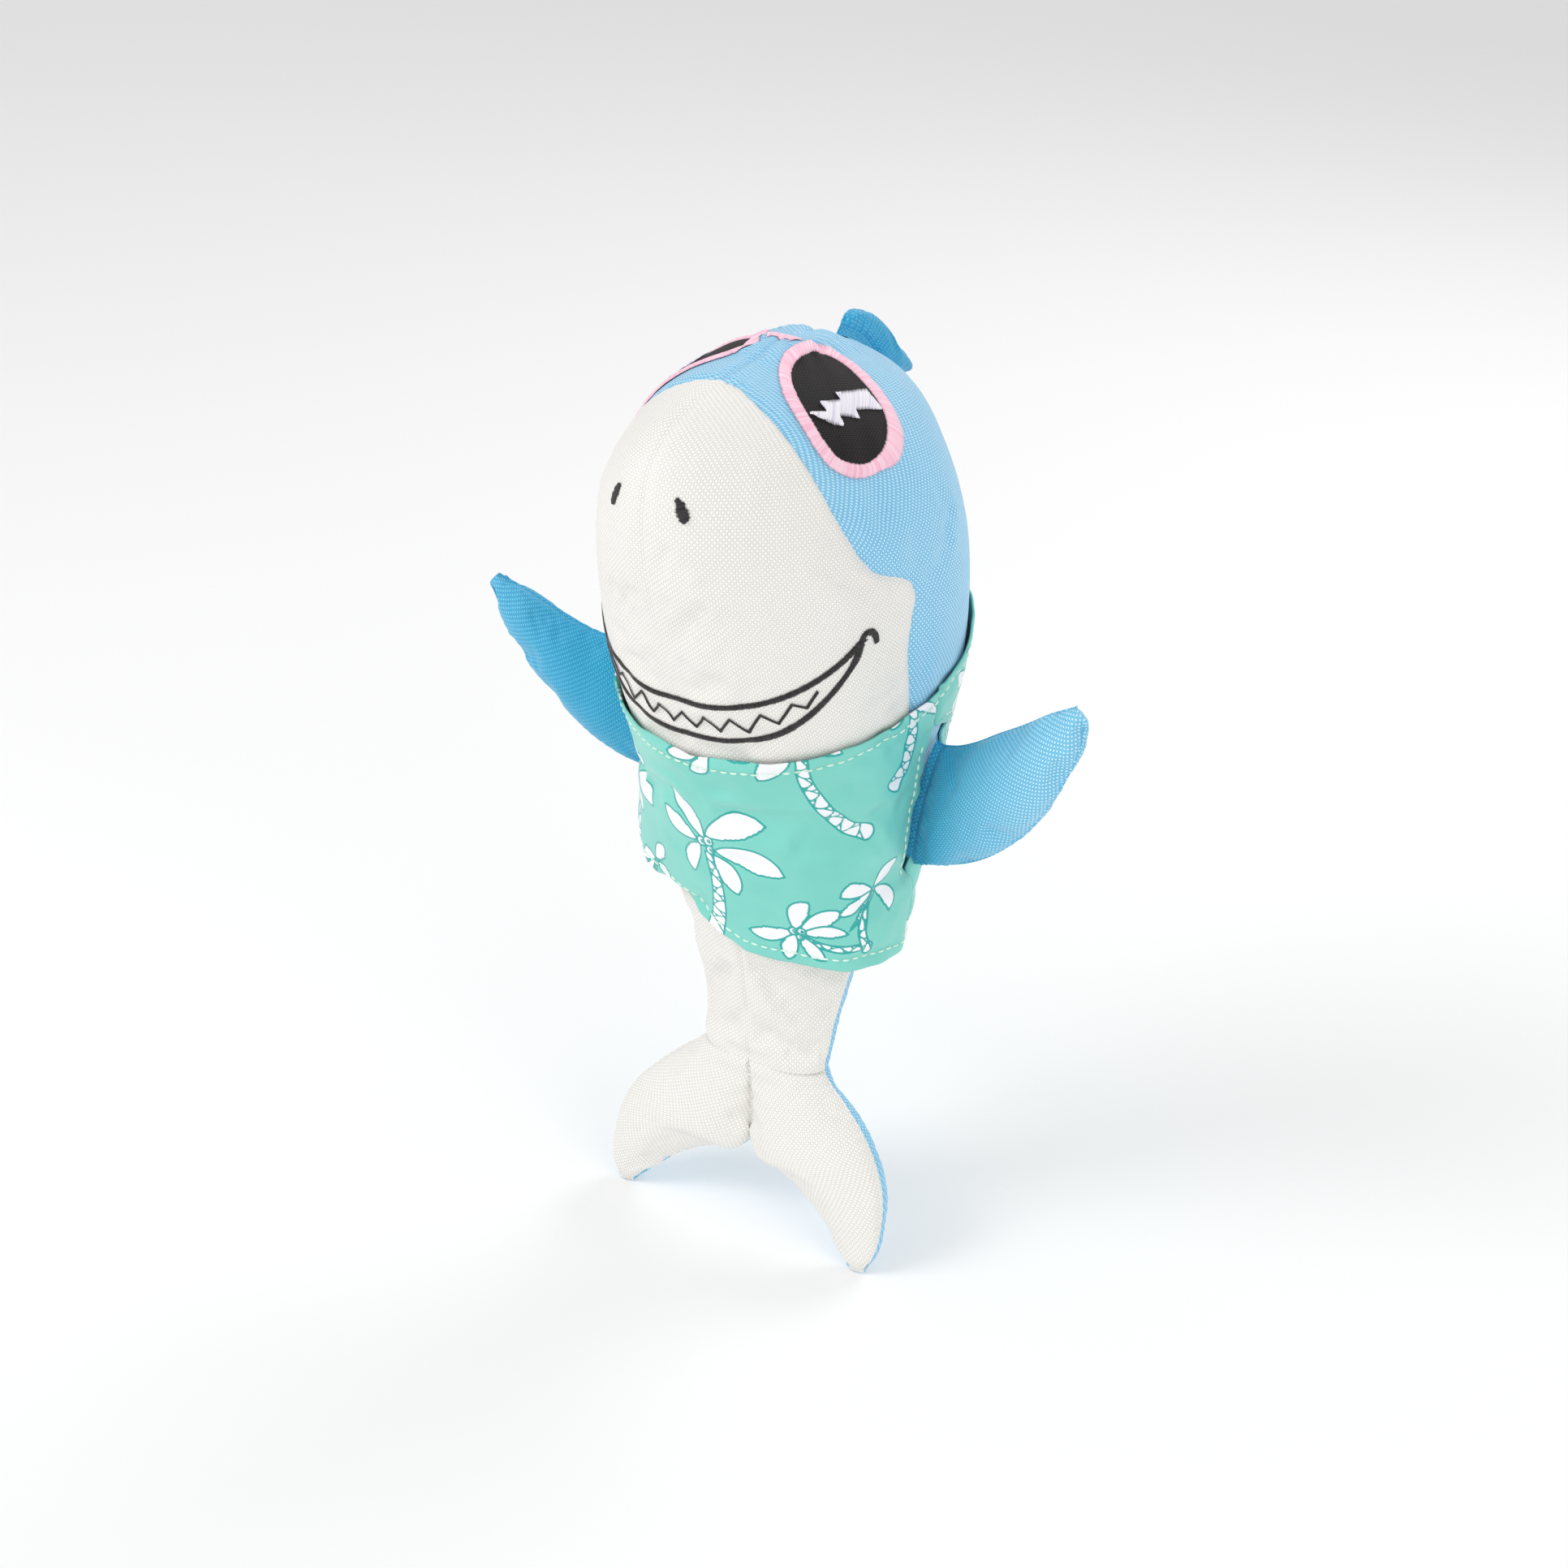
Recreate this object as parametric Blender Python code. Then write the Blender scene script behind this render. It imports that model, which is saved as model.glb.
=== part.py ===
"""Plush shark dog toy in a palm-print tank top and embroidered sunglasses.

Upright frame: +Z runs from the tail flukes to the head, the white belly faces -Y,
+X is the shark's left side.  Written in millimetres, built in metres.
"""
import bpy
import math
import numpy as np
from mathutils import Vector
from mathutils.bvhtree import BVHTree

for old in list(bpy.data.objects):
    bpy.data.objects.remove(old, do_unlink=True)

# ---------------------------------------------------------------- dimensions
MM = 0.001
CLOTH = 0.8            # woven polyester with its backing, thickness
GAP = 0.3              # clearance between neighbouring pieces
STUFF = 1.8            # depth of the stuffing's surface under the outside of the cloth
SHIRT_CLOTH = 0.6      # thin printed polyester of the shirt
THREAD = 0.6           # height of the satin-stitch embroidery

# Body profile from the tail end of the stem to the crown.  Each row: front y, front z,
# back y, back z, half width, where the widest point lies (0 front, 1 back), and how much
# the front half is pinched towards the nose.
BODY = np.array([
    [-12.0, 62.0, 11.0, 62.0, 21.5, 0.50, 0.00],
    [-13.5, 79.0, 14.0, 79.0, 22.5, 0.50, 0.00],
    [-17.0, 100.0, 21.0, 100.0, 28.0, 0.50, 0.00],
    [-24.0, 121.0, 29.0, 121.0, 34.5, 0.50, 0.05],
    [-33.0, 142.0, 36.0, 142.0, 40.0, 0.51, 0.08],
    [-42.5, 165.0, 42.0, 164.0, 44.0, 0.52, 0.09],
    [-53.5, 187.0, 46.5, 185.0, 48.0, 0.54, 0.11],
    [-65.0, 209.0, 49.0, 204.0, 51.0, 0.57, 0.16],
    [-75.0, 230.0, 49.5, 223.0, 51.5, 0.60, 0.24],
    [-82.5, 251.0, 47.5, 243.0, 49.5, 0.62, 0.30],
    [-84.0, 270.0, 43.0, 262.0, 44.0, 0.63, 0.33],
    [-76.0, 284.5, 36.0, 278.0, 35.0, 0.65, 0.33],
    [-56.0, 293.5, 26.0, 289.0, 24.5, 0.65, 0.25],
    [-32.0, 298.0, 11.0, 296.0, 14.0, 0.60, 0.10],
    [-10.0, 299.5, -8.0, 299.4, 0.8, 0.50, 0.00],
])
CROWN = len(BODY) - 1.0

# Seam between the white belly and the blue back: station along the body, degrees from
# the front midline.  It closes over the snout at APEX.
SEAM = [(0.0, 92.0), (3.5, 91.0), (5.2, 86.0), (6.8, 79.5), (7.6, 77.5), (8.1, 79.0),
        (8.5, 80.0), (8.72, 76.5), (8.82, 71.0), (9.03, 67.0), (9.4, 64.0), (9.8, 61.5),
        (10.2, 59.3), (10.65, 56.0), (11.2, 49.5), (11.62, 40.0), (12.03, 24.0), (12.28, 4.0)]
APEX = 12.28

BASE = np.array([0.0, 13.7, -1.2])     # from the drawing's origin to the middle of the footprint

WAIST_Z, WAIST_TOP = 110.0, 116.0      # tail joint height, lower edge of the torso
WAIST_Y = 2.5
WAIST_BALL = (29.3, 21.3)              # half width, half depth of the rounded tail top
FLUKE_Z, FLUKE_TOP = 59.5, 63.5        # fluke joint height, lower edge of the tail stem
FLUKE_BALL = (18.5, 9.0)
TAIL_RANGE = 30.0
FLUKE_RANGE = 35.0
FIN_RANGE = 30.0
DORSAL_RANGE = 40.0

FIN_ROOT_TOP = np.array([49.9, 7.5, 180.5])
FIN_ROOT_LOW = np.array([41.0, 11.3, 136.0])
FIN_TIP_AIM = np.array([100.0, -8.0, 205.0])
FIN_LIFT = {1: 6.0, -1: -6.0}          # the two hand-sewn fins do not sit quite level
FIN_REACH = {1: 1.035, -1: 0.91}
FIN_UPPER = [(0, 22.5), (5, 25.0), (11, 28.8), (18.5, 34.0), (29, 42.3), (40.5, 53.0), (49.0, 59.5)]
FIN_LOWER = [(0, -22.5), (8, -17.8), (17, -12.0), (28, -3.2), (38, 9.5), (44.5, 21.0),
             (49.2, 33.0), (52.6, 46.0), (53.2, 57.0)]
FIN_THICK = [(0.0, 2.0), (0.12, 4.6), (0.3, 7.2), (0.5, 7.6), (0.75, 5.6), (0.94, 2.6), (1.0, 0.5)]

FLUKE_OUTER = [(20.5, 59.3), (24.0, 57.6), (31.0, 53.0), (38.5, 46.5), (45.0, 38.5), (49.5, 29.0),
               (51.0, 18.0), (50.4, 8.5), (47.5, 1.6)]
FLUKE_INNER = [(0.2, 59.3), (0.2, 50.0), (0.2, 40.0), (0.4, 31.0), (3.0, 26.8), (10.0, 25.0),
               (19.5, 21.0), (29.0, 14.3), (36.0, 7.0), (42.0, 1.2)]
FLUKE_THICK = [(0.0, 6.9), (0.08, 7.9), (0.25, 8.4), (0.5, 7.8), (0.75, 6.0), (1.0, 2.0)]
FLUKE_LEAN = 0.19                      # the flukes tip forwards towards their ends

# Sunglasses, drawn on a plane laid against each temple of the head
LENS_C = np.array([25.0, -25.0, 288.0])
LENS_N = np.array([0.60, -0.30, 0.74])
LENS_IN = [(1.8, 20.0), (-6.0, 16.2), (-11.8, 9.0), (-13.0, 1.5), (-12.0, -5.0), (-10.0, -11.5),
           (-6.5, -16.2), (0.0, -18.3), (7.6, -16.2), (13.2, -11.0), (15.6, -3.5), (14.6, 2.5),
           (12.6, 8.0), (10.0, 14.0), (6.2, 18.6)]
LENS_OUT = [(3.6, 24.2), (-6.2, 20.9), (-14.1, 11.6), (-17.0, 3.0), (-16.4, -4.5), (-14.6, -11.2),
            (-11.2, -17.2), (-3.5, -21.6), (7.5, -20.0), (16.6, -16.3), (20.3, -8.5), (19.2, 1.0),
            (17.0, 8.0), (13.6, 15.2), (9.2, 21.4)]
GLARE = [(-12.2, -2.6), (-5.8, -2.7), (-6.6, 0.5), (0.7, 0.8), (0.2, 3.3), (12.4, 4.7),
         (15.0, -2.0), (4.8, -2.2), (4.8, -5.0), (-2.0, -4.2), (-1.8, -7.4), (-5.0, -7.0)]

# Face embroidery as seen from the front (x, z)
MOUTH_UP = [(44.2, 225.8), (41.0, 219.9), (36.0, 214.3), (27.0, 208.5), (18.0, 205.6), (9.0, 204.2),
            (0.0, 204.0)]
MOUTH_LOW = [(43.6, 223.0), (41.5, 215.3), (38.0, 208.6), (31.5, 200.3), (24.0, 195.0), (15.0, 192.3),
             (7.0, 191.6), (0.0, 191.6)]
TEETH = [(36.3, 211.0), (33.8, 205.8), (31.0, 207.2), (27.4, 200.6), (23.6, 203.4), (19.4, 196.6),
         (15.4, 200.8), (11.4, 195.4), (7.6, 199.8), (3.8, 195.0), (0.0, 199.2)]
MOUTH_W, TEETH_W = 2.0, 1.2

SHIRT_HEM_Z = 111.0
SHIRT_SPLIT = [(0.0, 97.2, 97.8), (0.13, 97.2, 97.8), (0.22, 88.0, 110.0), (0.6, 88.0, 111.0),
               (0.76, 89.0, 109.0), (0.85, 91.5, 93.0), (1.0, 91.5, 93.0)]


# ------------------------------------------------------------------ geometry
def curve_at(table, x):
    """Smooth curve through table rows (first column is the position)."""
    tab = np.array(table, float)
    keys = tab[:, 0]
    x = np.clip(np.asarray(x, float), keys[0], keys[-1])
    slope = np.gradient(tab[:, 1:], keys, axis=0)
    i = np.clip(np.searchsorted(keys, x, side="right") - 1, 0, len(keys) - 2)
    h = (keys[i + 1] - keys[i])[..., None]
    f = (x - keys[i])[..., None] / h
    a, b = tab[i, 1:], tab[i + 1, 1:]
    sa, sb = slope[i] * h, slope[i + 1] * h
    return (a * (1 + 2 * f) * (1 - f) ** 2 + sa * f * (1 - f) ** 2
            + b * f ** 2 * (3 - 2 * f) + sb * f ** 2 * (f - 1))


def line_at(table, x):
    tab = np.array(table, float)
    return np.stack([np.interp(x, tab[:, 0], tab[:, k]) for k in range(1, tab.shape[1])], -1)


def smooth_path(points, count):
    """Resample a polyline as a smooth curve with even spacing."""
    pts = np.array(points, float)
    key = np.concatenate([[0], np.cumsum(np.linalg.norm(np.diff(pts, axis=0), axis=1))])
    fine = curve_at(np.column_stack([key, pts]), np.linspace(0, key[-1], 400))
    run = np.concatenate([[0], np.cumsum(np.linalg.norm(np.diff(fine, axis=0), axis=1))])
    want = np.linspace(0, run[-1], count)
    return np.stack([np.interp(want, run, fine[:, k]) for k in range(pts.shape[1])], -1)


def station(s):
    x = np.clip(np.asarray(s, float), 0, CROWN)
    i = np.clip(np.floor(x).astype(int), 0, len(BODY) - 2)
    f = (x - i)[..., None]
    tab = np.concatenate([2 * BODY[:1] - BODY[1:2], BODY, 2 * BODY[-1:] - BODY[-2:-1]])
    a, b, c, d = tab[i], tab[i + 1], tab[i + 2], tab[i + 3]
    return b + 0.5 * f * ((c - a) + f * ((2 * a - 5 * b + 4 * c - d) + f * (3 * (b - c) + d - a)))


def surface(s, deg):
    """Point on the outside of the body at station s, deg degrees from the front (+ is left)."""
    s, deg = np.broadcast_arrays(np.asarray(s, float), np.asarray(deg, float))
    row = station(s)
    yf, zf, yb, zb, wide, mid, pinch = (row[..., k] for k in range(7))
    sn, cs = np.sin(np.radians(deg)), np.cos(np.radians(deg))
    ym, zm = yf + mid * (yb - yf), zf + mid * (zb - zf)
    front = cs > 0
    y = np.where(front, ym + (yf - ym) * cs, ym - (yb - ym) * cs)
    z = np.where(front, zm + (zf - zm) * cs, zm - (zb - zm) * cs)
    x = wide * sn * (1 - pinch * np.where(front, cs * cs, 0.0))
    return np.stack([x, y, z], -1)


def normal(s, deg):
    s = np.minimum(np.asarray(s, float), CROWN - 0.25)
    along = surface(s + 0.02, deg) - surface(s - 0.02, deg)
    across = surface(s, deg + 0.5) - surface(s, deg - 0.5)
    n = np.cross(across, along)
    return n / np.linalg.norm(n, axis=-1, keepdims=True)


def skin(s, deg, depth):
    """Point under (depth > 0) or above the outside of the body."""
    s, deg = np.broadcast_arrays(np.asarray(s, float), np.asarray(deg, float))
    return surface(s, deg) - normal(s, deg) * np.asarray(depth, float)[..., None]


def station_at(z, deg):
    """Station whose surface lies at height z."""
    z, deg = np.broadcast_arrays(np.asarray(z, float), np.asarray(deg, float))
    lo, hi = np.zeros_like(z), np.full_like(z, CROWN)
    for _ in range(40):
        mid = (lo + hi) / 2
        low = surface(mid, deg)[..., 2] < z
        lo, hi = np.where(low, mid, lo), np.where(low, hi, mid)
    return (lo + hi) / 2


def degrees_for(s, deg, mm):
    """Angle that moves the surface point by mm around the body."""
    step = np.linalg.norm(surface(s, deg + 0.5) - surface(s, deg - 0.5), axis=-1)
    return mm / np.maximum(step, 0.02)


# ------------------------------------------------------------------- objects
COLOURS = {
    "blue_cloth": (0.20, 0.50, 0.79), "cream_cloth": (0.87, 0.85, 0.80), "stuffing": (0.93, 0.93, 0.92),
    "shirt_cloth": (0.20, 0.72, 0.57), "black_thread": (0.02, 0.02, 0.02),
    "lens_cloth": (0.025, 0.022, 0.022), "pink_thread": (0.92, 0.45, 0.58),
    "white_thread": (0.85, 0.82, 0.92), "squeaker_plastic": (0.80, 0.80, 0.78),
}
COUNT = {}


def material(kind, name):
    """One named material per object, coloured for its kind of cloth or thread."""
    mat = bpy.data.materials.new(name + "_" + kind)
    mat.use_nodes = True
    shader = mat.node_tree.nodes["Principled BSDF"]
    shader.inputs["Base Color"].default_value = COLOURS[kind] + (1.0,)
    shader.inputs["Roughness"].default_value = 0.45 if kind == "squeaker_plastic" else 0.8
    return mat


def body_object(name, kind, verts, faces, origin=(0, 0, 0), parent=None):
    mesh = bpy.data.meshes.new(name)
    o = np.array(origin, float)
    mesh.from_pydata([tuple((v - o) * MM) for v in verts], [], faces)
    mesh.validate()
    mesh.materials.append(material(kind, name))
    mesh.shade_smooth()
    mesh.set_sharp_from_angle(angle=math.radians(45))
    obj = bpy.data.objects.new(name, mesh)
    bpy.context.scene.collection.objects.link(obj)
    place = Vector(tuple((o + BASE) * MM))
    if parent is not None:
        obj.parent = parent
        place = place - parent.location
    obj.location = place
    COUNT[name] = sum(len(f) - 2 for f in faces)
    return obj


def joint_empty(name, at, parent=None):
    obj = bpy.data.objects.new(name, None)
    bpy.context.scene.collection.objects.link(obj)
    obj.empty_display_size = 0.01
    obj.location = Vector(tuple((np.array(at, float) + BASE) * MM))
    return obj


def grid_faces(rows, cols, base, flip, close=False):
    out = []
    wrap = cols if close else cols - 1
    for i in range(rows - 1):
        for j in range(wrap):
            k = (j + 1) % cols
            q = [base + i * cols + j, base + i * cols + k, base + (i + 1) * cols + k,
                 base + (i + 1) * cols + j]
            out.append(tuple(reversed(q)) if flip else tuple(q))
    return out


def shell(outer, inner):
    """Closed body between an outer and an inner grid of points (outer faces outwards)."""
    rows, cols = outer.shape[:2]
    verts = np.concatenate([outer.reshape(-1, 3), inner.reshape(-1, 3)])
    n = rows * cols
    faces = grid_faces(rows, cols, 0, False) + grid_faces(rows, cols, n, True)
    rim = [j for j in range(cols)] + [i * cols + cols - 1 for i in range(1, rows)]
    rim += [(rows - 1) * cols + j for j in range(cols - 2, -1, -1)] + [i * cols for i in range(rows - 2, 0, -1)]
    for a, b in zip(rim, rim[1:] + rim[:1]):
        faces.append((b, a, a + n, b + n))
    return verts, faces


def rings(loops, start, end):
    """Closed body from loops of points, with a pole point at each end."""
    count, cols = len(loops), len(loops[0])
    verts = np.concatenate([np.array(loops).reshape(-1, 3), [start, end]])
    faces = grid_faces(count, cols, 0, False, close=True)
    a, b = count * cols, count * cols + 1
    for j in range(cols):
        k = (j + 1) % cols
        faces.append((k, j, a))
        faces.append(((count - 1) * cols + j, (count - 1) * cols + k, b))
    return verts, faces


def outward(verts, faces):
    """Turn every face over if the body came out inside out."""
    v = np.array(verts)
    vol = 0.0
    for f in faces:
        for k in range(1, len(f) - 1):
            vol += np.dot(v[f[0]], np.cross(v[f[k]], v[f[k + 1]]))
    return faces if vol > 0 else [tuple(reversed(f)) for f in faces]


def make(name, kind, solid, origin=(0, 0, 0), parent=None):
    verts, faces = solid
    return body_object(name, kind, verts, outward(verts, faces), origin, parent)


# ------------------------------------------------------------- torso panels
BALL_COLS = 28
TURN = np.linspace(0, 360, BALL_COLS, endpoint=False)
TORSO_LOW = float(station_at(WAIST_TOP, 0.0))
STEM_HIGH = float(station_at(WAIST_Z, 0.0))
STEM_LOW = float(station_at(FLUKE_TOP, 0.0))


def seam_deg(s):
    return np.where(np.asarray(s) >= APEX, 0.0, curve_at(SEAM, np.minimum(s, APEX))[..., 0])


def panel_grid(rows, deg0, deg1, cols, depth, place):
    """Points of a cloth panel between two seam lines (degrees as functions of the row)."""
    grid = np.zeros((len(rows), cols, 3))
    for i, s in enumerate(rows):
        lo, hi = float(deg0(s)), float(deg1(s))
        lo += float(degrees_for(s, lo, GAP / 2))
        hi -= float(degrees_for(s, hi, GAP / 2))
        if hi < lo:
            hi = lo = (hi + lo) / 2
        deg = np.linspace(lo, hi, cols)
        grid[i] = place(np.full(cols, s), deg, depth)
    return grid


def mirror(points, side):
    return points * np.array([side, 1, 1])


def two_panels(stem, rows, deg0, deg1, cols, place, kind, parent=None, origin=(0, 0, 0)):
    outer = panel_grid(rows, deg0, deg1, cols, 0.0, place)
    inner = panel_grid(rows, deg0, deg1, cols, CLOTH, place)
    for side, word in ((1, "left"), (-1, "right")):
        make(f"{stem}_{word}", kind, shell(mirror(outer, side), mirror(inner, side)), origin, parent)


low_rows = [TORSO_LOW, 3.5, 4.3, 5.2, 6.0, 6.8, 7.6, 8.3, 8.6, 8.8, 9.03, 9.4, 9.9, 10.5, 11.1, 11.62, 12.0]
belly_rows = np.array(low_rows + [12.2])
back_rows = np.array(low_rows + [12.28, 12.7, 13.1, 13.5, 13.75, 13.9])
two_panels("belly_panel", belly_rows, lambda s: 0.0, seam_deg, 7, skin, "cream_cloth")
two_panels("back_panel", back_rows, seam_deg, lambda s: 180.0, 8, skin, "blue_cloth")


# ------------------------------------------------------ stuffing of the torso
def ellipse(cx, cy, z, a, b):
    t = np.radians(TURN)
    return np.stack([cx + a * np.sin(t), cy - b * np.cos(t), np.full(len(t), z)], -1)


def ball_ring(ball, centre_y, centre_z, height, extra=0.0):
    """Ring of an ellipsoid whose section across x is a circle, at a height above its centre."""
    half_w, half_d = ball[0] + extra, ball[1] + extra
    share = math.sqrt(max(1 - (height / half_d) ** 2, 0.0))
    return ellipse(0, centre_y, centre_z + height, half_w * share, half_d * share)


def ball_heights(first, radius, count):
    a0 = math.asin(first / radius)
    return [radius * math.sin(a) for a in np.linspace(a0, math.radians(78), count)]


torso_rows = np.concatenate([np.linspace(3.6, 12.4, 13), [12.9, 13.3]])
loops = [skin(np.full(BALL_COLS, station_at(WAIST_TOP, TURN)), TURN, STUFF)]
loops[0][:, 2] = WAIST_TOP
loops += [skin(np.full(BALL_COLS, s), TURN, STUFF) for s in torso_rows]
socket = ball_heights(WAIST_TOP - WAIST_Z, WAIST_BALL[1] + 0.5, 6)
inner = [ball_ring(WAIST_BALL, WAIST_Y, WAIST_Z, h, 0.5) for h in reversed(socket)]
top_pole = np.array([0.0, -12.0, 299.4 - STUFF - 1.2])
low_pole = np.array([0, WAIST_Y, WAIST_Z + WAIST_BALL[1] + 0.5])
stuffing = make("body_stuffing", "stuffing", rings(inner + loops, low_pole, top_pole))

# The squeaker sits in a pocket cut into the stuffing from the back
SQUEAK_Z, SQUEAK_R, SQUEAK_DEEP = 172.0, 17.0, 24.0
POCKET_Y = 14.0
bpy.ops.mesh.primitive_cylinder_add(vertices=20, radius=(SQUEAK_R + 0.6) * MM, depth=60 * MM,
                                    location=(0, (POCKET_Y + 30 + BASE[1]) * MM, (SQUEAK_Z + BASE[2]) * MM),
                                    rotation=(math.pi / 2, 0, 0))
cutter = bpy.context.object
cutter.name = "squeaker_pocket_cutter"
cutter.hide_render = True
cutter.display_type = "WIRE"
cut = stuffing.modifiers.new("squeaker_pocket", "BOOLEAN")
cut.operation = "DIFFERENCE"
cut.solver = "EXACT"
cut.object = cutter


def turned(profile, centre, count):
    """Body of revolution about the y direction from (radius, y) points, closed on the axis."""
    t = np.linspace(0, 2 * math.pi, count, endpoint=False)
    loops_ = [np.stack([centre[0] + r * np.cos(t), np.full(count, centre[1] + y), centre[2] + r * np.sin(t)], -1)
              for r, y in profile[1:-1]]
    ends = [np.array([centre[0], centre[1] + profile[k][1], centre[2]]) for k in (0, -1)]
    return rings(loops_, ends[0], ends[1])


# Hollow bulb: rounded outside, thin wall, mouth towards the back that the reed plugs
BULB_WALL, REED_R = 1.3, 5.0
bulb_y = POCKET_Y + 0.6
bulb = [(0, 0), (8, 0.6), (14, 3.0), (17, 8.0), (17, 15.0), (14.5, 20.0), (9, 22.5), (REED_R + 0.3, 22.5),
        (REED_R + 0.3, 21.0), (8.5, 21.0), (13.6, 18.8), (15.7, 14.5), (15.7, 8.4), (13.2, 4.2),
        (7.6, 2.0), (0, BULB_WALL)]
make("squeaker_bulb", "squeaker_plastic", turned(bulb, (0, bulb_y, SQUEAK_Z), 16))
reed = [(0, 17.0), (3.2, 17.0), (REED_R - 0.1, 18.5), (REED_R - 0.1, 23.4), (3.0, 23.4), (0, 22.0)]
make("squeaker_reed", "squeaker_plastic", turned(reed, (0, bulb_y, SQUEAK_Z), 14))

# ----------------------------------------------------------------- tail stem
tail = joint_empty("tail_joint", (0, WAIST_Y, WAIST_Z))


def stem_skin(s, deg, depth):
    """Stem surface, drawn in near the waist so that it turns inside the torso's lower edge."""
    p = skin(s, deg, depth)
    z = p[..., 2]
    row = station(s)
    mid_y = (row[..., 0] + row[..., 2]) / 2
    f = np.clip((z - 92.0) / (WAIST_Z - 92.0), 0, 1)
    f = f * f * (3 - 2 * f)
    sx = 1 + f * ((WAIST_BALL[0] - 0.1) / row[..., 4] - 1)
    sy = 1 + f * ((WAIST_BALL[1] - 0.1) / ((row[..., 2] - row[..., 0]) / 2) - 1)
    y = mid_y + f * (WAIST_Y - mid_y) + (p[..., 1] - mid_y) * sy
    return np.stack([p[..., 0] * sx, y, z], -1)


stem_rows = np.linspace(STEM_LOW, STEM_HIGH, 8)
two_panels("tail_front", stem_rows, lambda s: 0.0, seam_deg, 6, stem_skin, "cream_cloth", tail, (0, WAIST_Y, WAIST_Z))
two_panels("tail_back", stem_rows, seam_deg, lambda s: 180.0, 6, stem_skin, "blue_cloth", tail, (0, WAIST_Y, WAIST_Z))
loops = [ball_ring(FLUKE_BALL, 0.0, FLUKE_Z, h, 0.5)
         for h in reversed(ball_heights(FLUKE_TOP - FLUKE_Z, FLUKE_BALL[1] + 0.5, 5))]
loops += [stem_skin(np.full(BALL_COLS, s), TURN, STUFF) for s in stem_rows[:-1]]
loops[5][:, 2] = FLUKE_TOP
neck_ring = stem_skin(np.full(BALL_COLS, stem_rows[-1]), TURN, STUFF)
neck_ring[:, 2] = WAIST_Z + GAP
loops.append(neck_ring)
loops += [ball_ring(WAIST_BALL, WAIST_Y, WAIST_Z, h, -0.1) for h in ball_heights(0.6, WAIST_BALL[1] - 0.1, 6)]
make("tail_stuffing", "stuffing",
     rings(loops, np.array([0, 0, FLUKE_Z + FLUKE_BALL[1] + 0.5]), np.array([0, WAIST_Y, WAIST_Z + WAIST_BALL[1] - 0.1])),
     (0, WAIST_Y, WAIST_Z), tail)

# -------------------------------------------------------------------- flukes
flukes = joint_empty("fluke_joint", (0, 0, FLUKE_Z))
FLUKE_ROWS, FLUKE_COLS = 11, 7


def fluke_point(w, v, side, depth, edge):
    """Point on one fluke lobe: w runs root to tip, v across it from -1 to 1."""
    outer_ = smooth_path(FLUKE_OUTER, 60)
    inner_ = smooth_path(FLUKE_INNER, 60)
    a = np.array([np.interp(w, np.linspace(0, 1, 60), inner_[:, k]) for k in (0, 1)])
    b = np.array([np.interp(w, np.linspace(0, 1, 60), outer_[:, k]) for k in (0, 1)])
    span = np.linalg.norm(b - a)
    mid, half = (a + b) / 2, (b - a) / 2 * (1 - 2 * edge / max(span, 1))
    p = mid + half * v
    thick = max(float(line_at(FLUKE_THICK, w)[0]) - depth, 0.35)
    # the two lobes share one round section at the root, and part into two cushions below
    join = max(0.0, 1 - w / 0.42)
    split = math.sqrt(max(1 - v * v, 0.0))
    across = math.sqrt(max(1 - (abs(p[0]) / (20.8 - edge)) ** 2, 0.0)) if join > 0 else 0.0
    puff = join * max(across, 0.0) + (1 - join) * split
    lean = -FLUKE_LEAN * (FLUKE_Z - p[1])
    return np.array([side * p[0], lean, p[1]]), thick * puff


def fluke_sheet(side, face, depth, edge, push):
    grid = np.zeros((FLUKE_ROWS, FLUKE_COLS, 3))
    v_list = -np.cos(np.linspace(0, math.pi, FLUKE_COLS))
    for i, w in enumerate(np.linspace(0, 1, FLUKE_ROWS)):
        for j, v in enumerate(v_list):
            p, h = fluke_point(w, v, side, depth, edge)
            grid[i, j] = p + np.array([0, face * (h + push), 0])
            grid[i, j, 2] = min(grid[i, j, 2], FLUKE_Z - 0.2)
    return grid


lobes = []
for side, word in ((1, "left"), (-1, "right")):
    for face, where, kind in ((-1, "front", "cream_cloth"), (1, "back", "blue_cloth")):
        outer = fluke_sheet(side, face, 0.0, 0.3, GAP / 2 + CLOTH)
        inner = fluke_sheet(side, face, 0.0, 0.3, GAP / 2)
        make(f"fluke_{where}_{word}", kind, shell(outer, inner), (0, 0, FLUKE_Z), flukes)
    front = fluke_sheet(side, -1, 0.9, 1.9, 0.0)
    back = fluke_sheet(side, 1, 0.9, 1.9, 0.0)
    loop_rows = [np.concatenate([front[i], back[i][::-1]]) for i in range(FLUKE_ROWS)]
    lobe = make(f"fluke_lobe_{word}_joiner", "stuffing",
                rings(loop_rows, loop_rows[0].mean(0), loop_rows[-1].mean(0)), (0, 0, FLUKE_Z), flukes)
    lobe.hide_render = True
    lobe.display_type = "WIRE"
    lobes.append(lobe)

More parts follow.
